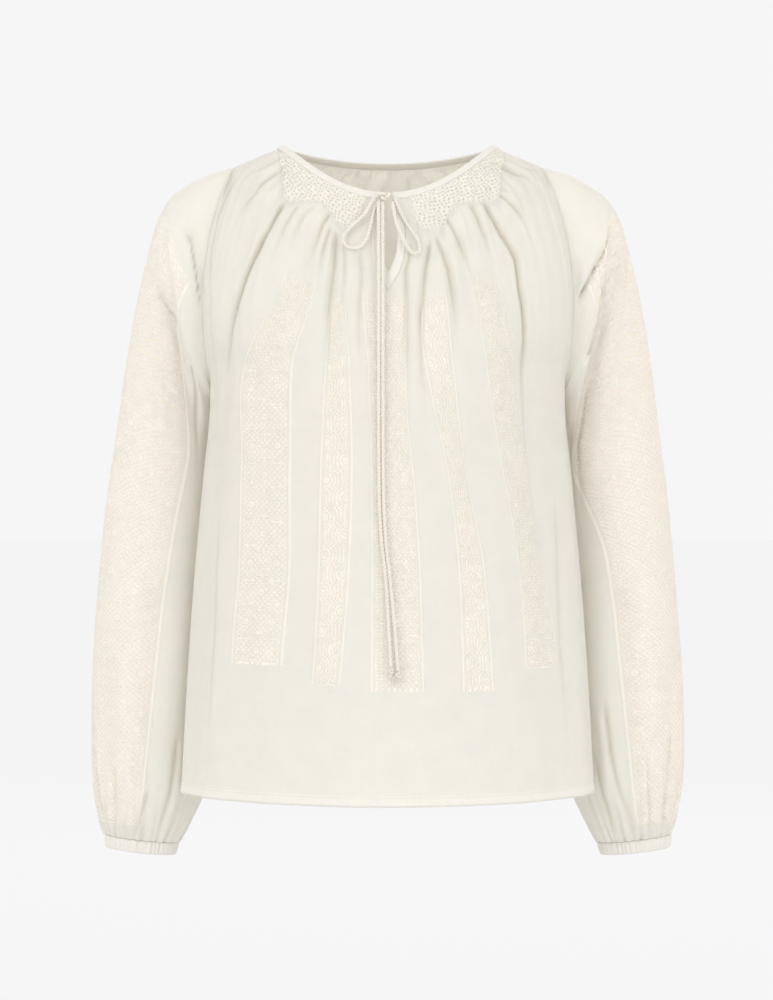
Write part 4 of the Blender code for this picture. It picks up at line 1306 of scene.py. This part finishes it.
class BLOUSE_OT_stage(bpy.types.Operator):
    """Makes the floor, the surround, the lights and the camera."""

    bl_idname = "blouse.stage"
    bl_label = "Stage"

    def execute(self, context):
        stage = context.scene.blouse_stage
        scene = context.scene
        scene.view_settings.view_transform = "Standard"
        world = bpy.data.worlds.new("surround")
        world.use_nodes = True
        sky = world.node_tree.nodes["Background"]
        sky.inputs["Color"].default_value = (1, 1, 1, 1)
        sky.inputs["Strength"].default_value = stage.pale
        scene.world = world

        floor_mesh = bpy.data.meshes.new("floor")
        bm = bmesh.new()
        bmesh.ops.create_circle(bm, cap_ends=True, segments=64, radius=40.0)
        bmesh.ops.translate(bm, verts=bm.verts, vec=(0, 0, CAD_BOX[0].z - FLOOR_DROP))
        bm.to_mesh(floor_mesh)
        bm.free()
        floor = bpy.data.objects.new("floor", floor_mesh)
        paper = bpy.data.materials.new("pale_paper")
        paper.use_nodes = True
        shader = paper.node_tree.nodes["Principled BSDF"]
        shader.inputs["Base Color"].default_value = (0.06, 0.06, 0.06, 1)
        shader.inputs["Roughness"].default_value = 1.0
        shader.inputs["Specular IOR Level"].default_value = 0.0
        shader.inputs["Emission Color"].default_value = (1, 1, 1, 1)
        shader.inputs["Emission Strength"].default_value = stage.pale - 0.073
        floor_mesh.materials.append(paper)
        scene.collection.objects.link(floor)

        middle = (CAD_BOX[0] + CAD_BOX[1]) / 2
        for name, power, size, place in (
            ("key", stage.key, 1.6, (-1.8, -1.8, 0.7)),
            ("fill", stage.fill, 2.0, (1.9, -1.8, 0.3)),
            ("front", stage.front, 2.0, (0.2, -2.6, 0.9)),
            ("back", stage.key * 1.9, 2.0, (0.3, 2.4, 1.3)),
        ):
            lamp = bpy.data.lights.new(name, "AREA")
            lamp.energy, lamp.size = power, size
            light = bpy.data.objects.new(name, lamp)
            light.location = middle + Vector(place)
            light.rotation_euler = (middle - light.location).to_track_quat("-Z", "Y").to_euler()
            scene.collection.objects.link(light)

        camera = bpy.data.objects.new("camera", bpy.data.cameras.new("camera"))
        camera.data.lens = stage.lens
        camera.data.sensor_width = 36.0
        camera.location = CAMERA_PLACE
        camera.rotation_euler = (math.pi / 2, 0, 0)
        scene.collection.objects.link(camera)
        scene.camera = camera
        return {"FINISHED"}


class BLOUSE_OT_front(bpy.types.Operator):
    """Makes the front, gathered into its neck, with the slit and the turned hem."""

    bl_idname = "blouse.front"
    bl_label = "Front"

    def execute(self, context):
        finishes = [
            voile(context, "body_voile", hem=flat_down(HEM_START)),
            *(embroidered(context, name, design, wide / 2) for name, design, wide in DESIGNS),
            inner(context),
        ]
        shell = context.scene.blouse_cloth.shell
        piece = made("front", front_grids(), *finishes, thick=shell, weld=1e-5, panels=front_panels)
        placed(piece, "voile", "front_body")
        return {"FINISHED"}


class BLOUSE_OT_back(bpy.types.Operator):
    """Makes the back, gathered into its neck, with the turned hem."""

    bl_idname = "blouse.back"
    bl_label = "Back"

    def execute(self, context):
        edges = run((0, 1, 44), (1, 2, 56), (2, HEM_STEP[0], 70), (*HEM_STEP, 3), (HEM_STEP[1], 3, 4))
        edge, across = grid(edges, np.linspace(-1, 1, 180))
        lift = HEM_LIFT * eased(*HEM_STEP, edge)
        grids = [(body_cloth(edge, across, 1, 1, lift), *body_uv(edge, across), edge, across)]
        finishes = voile(context, "body_voile"), inner(context)
        shell = context.scene.blouse_cloth.shell
        piece = made("back", grids, *finishes, flip=True, thick=shell, panels=back_panels)
        placed(piece, "voile", "back_body")
        return {"FINISHED"}


class BLOUSE_OT_sleeves(bpy.types.Operator):
    """Makes the two full sleeves, gathered above their cuffs."""

    bl_idname = "blouse.sleeves"
    bl_label = "Sleeves"

    def execute(self, context):
        rings = run((-0.02, 0, 1), (0, 13.5, 120), (13.5, LAST_RING, 64))
        ring, turn = grid(rings, np.linspace(0, 1, 190))
        half = SLEEVE_PANEL_WIDE / 2
        # Painted light: the sleeves' cloth, plain and embroidered, is painted six per cent lighter than the body's, to
        # make up for the shade on the sleeves beside the body.
        finishes = (
            voile(context, pale=1.06),
            embroidered(context, "sleeve_design", sleeve_design, half, pale=1.06),
            inner(context),
        )
        for name, mirror in (("left", -1), ("right", 1)):
            points = sleeve_cloth(np.maximum(ring, 0), turn, mirror)
            tuck = sleeve_cloth(0 * turn[:1], turn[:1], mirror, -0.0006)
            points[:1] = tuck - np.array((mirror * 0.0014, 0.0, 0.0))
            middle = sleeve_cloth(np.maximum(rings, 0), SLEEVE_MIDDLE, mirror)
            down = lengths(middle)
            grids = [(points, (turn - SLEEVE_MIDDLE) * SLEEVE_CUT, -down[:, None] + 0 * turn, ring, turn)]
            shell = context.scene.blouse_cloth.shell
            piece = made(
                f"sleeve_cloth_{name}", grids, *finishes, flip=mirror > 0, thick=shell, weld=1e-5,
                panels=sleeve_panel(mirror),
            )
            placed(piece, "voile", f"sleeve_{name}")
        return {"FINISHED"}


class BLOUSE_OT_smocking(bpy.types.Operator):
    """Makes the smocking, which draws the front in under its binding."""

    bl_idname = "blouse.smocking"
    bl_label = "Smocking"

    def execute(self, context):
        material = voile(context, "smocked_voile", smocked=True)
        for name, foot in SMOCKING.items():
            places, stops = (np.array(column) for column in zip(*foot))
            across = np.linspace(places[0], places[-1], 230)
            reach = np.interp(across, places, stops)
            share = np.linspace(0, 1, 76)[:, None]
            edge = share * reach[None, :] + 0.0
            wide = np.broadcast_to(across[None, :], edge.shape)
            sign = math.copysign(1, places.mean())
            level = body_cloth(edge, wide, -1, sign)
            v = -np.linalg.norm(level - level[:1], axis=-1)
            u = wide * SMOCKED_WIDTH
            ends = eased(0, 0.06, np.minimum(across - places[0], places[-1] - across))[None, :]
            hold = eased(0.0, 0.20, 1 - share) * ends
            lift = (smocking_height(u, v) - 0.6) * SMOCKING_DEPTH * hold + 0.0008 * hold - SMOCKING_SUNK * (1 - hold)
            points = body_cloth(edge, wide, -1, sign, lift)

            def fade(first, second):
                return np.zeros((*first.shape, 2)), np.stack((first, second), axis=-1), 0 * first, np.zeros(len(first))

            placed(made(name, [(points, u, v, hold, hold)], material, thick=0.0003, panels=fade), "voile")
        return {"FINISHED"}


class BLOUSE_OT_neck(bpy.types.Operator):
    """Makes the binding round the neck and the facing of the slit."""

    bl_idname = "blouse.neck"
    bl_label = "Neck binding and facing"

    def execute(self, context):
        half = np.linspace(0, 1, 110)
        behind = np.linspace(1, -1, 190)[1:-1]
        across = np.concatenate((half, behind, -half[::-1]))
        side = np.repeat((-1.0, 1.0, -1.0), (len(half), len(behind), len(half)))
        sign = np.repeat((1.0, 1.0, -1.0), (len(half), len(behind), len(half)))
        turn = across * math.pi / 2
        level = np.maximum(np.cos(turn), 0.0)
        front = side < 0
        low = np.where(front[:, None], body_points(0 * across, across, -1), body_points(0 * across, across, 1))
        middle_y, middle_z = np.where(front, BAND_FRONT[1], BAND_BACK[1]), np.where(front, BAND_FRONT[2], BAND_BACK[2])
        rise = level ** np.where(front, 2.1, 2.0)
        top = stacked(BAND_SIDE[0] * np.sin(turn), middle_y * level, BAND_SIDE[2] + (middle_z - BAND_SIDE[2]) * rise)
        for line in (low, top):
            line[:, 0] += np.where(front, sign * SLIT[0][1] * np.exp(-np.abs(line[:, 0]) / SLIT_REACH), 0.0)
        along = unit(np.gradient(low, axis=0))
        up = top - low
        out = unit(np.cross(along, up))
        length = lengths(low)
        pucker = ripples(length / length[-1] * 2 - 1, (31.0, 47.0, 78.0), 4) * 0.00022
        sections = []
        for rise_share, thick, _ in BAND_LOOP:
            swell = 0.0003 * math.sin(math.pi * min(max(rise_share, 0), 1))
            offset = thick * (BAND_HALF + swell) + (pucker if thick > 0 else 0.0)
            sections.append(low + up * rise_share + out * np.reshape(offset, (-1, 1)))
        points = np.stack(sections, axis=1)
        u = length[:, None] + 0 * points[:, :, 0]
        v = np.linspace(0, 0.018, points.shape[1])[None, :] + 0 * u
        piece = made("binding", [(points, u, v)], folded(context), weld=1e-6, capped=True)
        placed(piece, "folded_voile", "neck_binding")

        edges = run((0.0, SLIT_FOOT, 90), (SLIT_FOOT, FACING_FOOT, 16))
        width = np.interp(edges, (0, SLIT_FOOT, FACING_FOOT), (FACING_WIDTH, FACING_WIDTH, 0.0))
        grids = []
        for hand in (-1, 1):
            low, high = (-width, 0 * width) if hand < 0 else (0 * width, width)
            points, share, down = patch(edges, low, high, 9, hand, FACING_LIFT)
            grids.append((points, (share - 0.5) * 0.012 + 0 * down[:, None], -down[:, None] + 0 * share))
        piece = made("facing", grids, folded(context), thick=FACING_THICK, weld=2e-5)
        placed(piece, "folded_voile", "slit_facing")
        return {"FINISHED"}


class BLOUSE_OT_cuffs(bpy.types.Operator):
    """Makes the narrow elastic cuffs."""

    bl_idname = "blouse.cuffs"
    bl_label = "Cuffs"

    def execute(self, context):
        turn = np.linspace(0, 1, 289)
        x, y, z, inner_x, inner_y, inner_z, half_depth, swell = (column[0] for column in read(SLEEVE_ROWS, [LAST_RING]))
        outer, inner = np.array((x, y, z)), np.array((inner_x, inner_y, inner_z))
        ring = ring_points(outer, inner, half_depth, swell, turn * 2 * math.pi)
        ring = ring + unit((outer + inner) / 2 - ring) * folds_depth(SLEEVE_FOLDS, np.mod(turn, 1), LAST_RING)[:, None]
        middle = ring[:-1].mean(axis=0)
        down = unit(np.cross(ring[0] - ring[len(turn) // 2], (0.0, 1.0, 0.0)))
        down = down * -math.copysign(1, down[2])
        out = unit(ring - middle)
        for name, mirror in (("left", -1), ("right", 1)):
            random = np.random.default_rng(31 + mirror)
            phase = random.uniform(0, 2 * math.pi, 3)
            gather = sum(
                np.sin(2 * math.pi * count * turn + phase[k] + 0.9 * np.sin(2 * math.pi * (k + 2) * turn))
                for k, count in enumerate((34, 47, 60))
            )
            sections = []
            for drop, thick, crest in BAND_LOOP:
                fall = SEAM + CUFF_HEIGHT * (1 - drop)
                size = 1 + (CUFF_TAPER - 1) * (1 - drop)
                swell = 0.0005 * math.sin(math.pi * min(max(drop, 0), 1))
                puff = BAND_HALF * (thick - 1) + gather * 0.00030 * crest + swell
                sections.append(middle + (ring - middle) * size + down * fall + out * np.reshape(puff, (-1, 1)))
            points = np.stack(sections, axis=1)
            points[..., 0] = mirror * (points[..., 0] + SEAM)
            u = turn[:, None] * 0.2 + 0 * points[:, :, 0]
            v = np.linspace(0, 0.030, points.shape[1])[None, :] + 0 * u
            piece = made(f"elastic_cuff_{name}", [(points, u, v)], folded(context), flip=mirror > 0, weld=1e-6)
            placed(piece, "folded_voile", f"cuff_{name}")
        return {"FINISHED"}


class BLOUSE_OT_tie(bpy.types.Operator):
    """Makes the twisted tie: its bow, its two hanging ends and their knots."""

    bl_idname = "blouse.tie"
    bl_label = "Tie"

    def execute(self, context):
        tie = context.scene.blouse_tie
        material = cord_finish("tie_yarn", tie.colour)
        knot_curve = knotted(KNOT_CENTRE, BOW_KNOT_SIZE, 0.2)
        knot = rope("bow_knot", knot_curve, material, tie.twist, CORD * 0.88)
        placed(knot, "twisted_cord", "tie_knot")
        for name, route in (("left", LOOP_LEFT), ("right", LOOP_RIGHT)):
            path = smooth_route(route, ROUTE_STEP)
            piece = rope(f"bow_loop_{name}", path, material, tie.twist, CORD)
            placed(piece, "twisted_cord", f"tie_loop_{name}")
        for name, route in (("left", END_LEFT), ("right", END_RIGHT)):
            path = smooth_route(route, ROUTE_STEP)
            piece = rope(f"tie_cord_{name}", path, material, tie.twist, CORD)
            placed(piece, "twisted_cord", f"tie_end_{name}")
            foot = Vector(path[-1])
            way = (foot - Vector(path[-8])).normalized()
            centre = foot + way * (END_KNOT_SIZE[2] * 0.36)
            bead = rope(
                f"stopper_{name}", knotted(centre, STOPPER_SIZE, 0.9), material, STOPPER_TWIST, STOPPER_CORD
            )
            placed(bead, "twisted_cord", f"end_knot_{name}")
            fringe = frayed(f"frayed_end_{name}", centre + way * 0.0022, way, material, 7 if name == "left" else 9)
            placed(fringe, "twisted_cord")
        return {"FINISHED"}


class BLOUSE_OT_cloths(bpy.types.Operator):
    """An empty step, which makes nothing."""

    bl_idname = "blouse.cloths"
    bl_label = "Cloth cuts"

    def execute(self, context):
        return {"FINISHED"}


PIECES = (
    BLOUSE_OT_stage,
    BLOUSE_OT_tie,
    BLOUSE_OT_front,
    BLOUSE_OT_back,
    BLOUSE_OT_sleeves,
    BLOUSE_OT_smocking,
    BLOUSE_OT_neck,
    BLOUSE_OT_cuffs,
    BLOUSE_OT_cloths,
)
SETTINGS = {"blouse_cloth": BlouseCloth, "blouse_tie": BlouseTie, "blouse_stage": BlouseStage}


class BLOUSE_PT_panel(bpy.types.Panel):
    """Lists the blouse's pieces and their sizes."""

    bl_idname = "BLOUSE_PT_panel"
    bl_label = "Peasant Blouse"
    bl_space_type = "VIEW_3D"
    bl_region_type = "UI"
    bl_category = "Blouse"

    def draw(self, context):
        for name, group in SETTINGS.items():
            box = self.layout.box()
            for prop in group.__annotations__:
                box.prop(getattr(context.scene, name), prop)
        for operator in PIECES:
            self.layout.operator(operator.bl_idname)


def register():
    for group in (*SETTINGS.values(), *PIECES, BLOUSE_PT_panel):
        bpy.utils.register_class(group)
    for name, group in SETTINGS.items():
        setattr(bpy.types.Scene, name, bpy.props.PointerProperty(type=group))


def unregister():
    for name in SETTINGS:
        delattr(bpy.types.Scene, name)
    for group in (BLOUSE_PT_panel, *reversed(PIECES), *reversed(list(SETTINGS.values()))):
        bpy.utils.unregister_class(group)


def main():
    register()
    for operator in PIECES:
        group, name = operator.bl_idname.split(".")
        getattr(getattr(bpy.ops, group), name)()


if __name__ == "__main__":
    main()
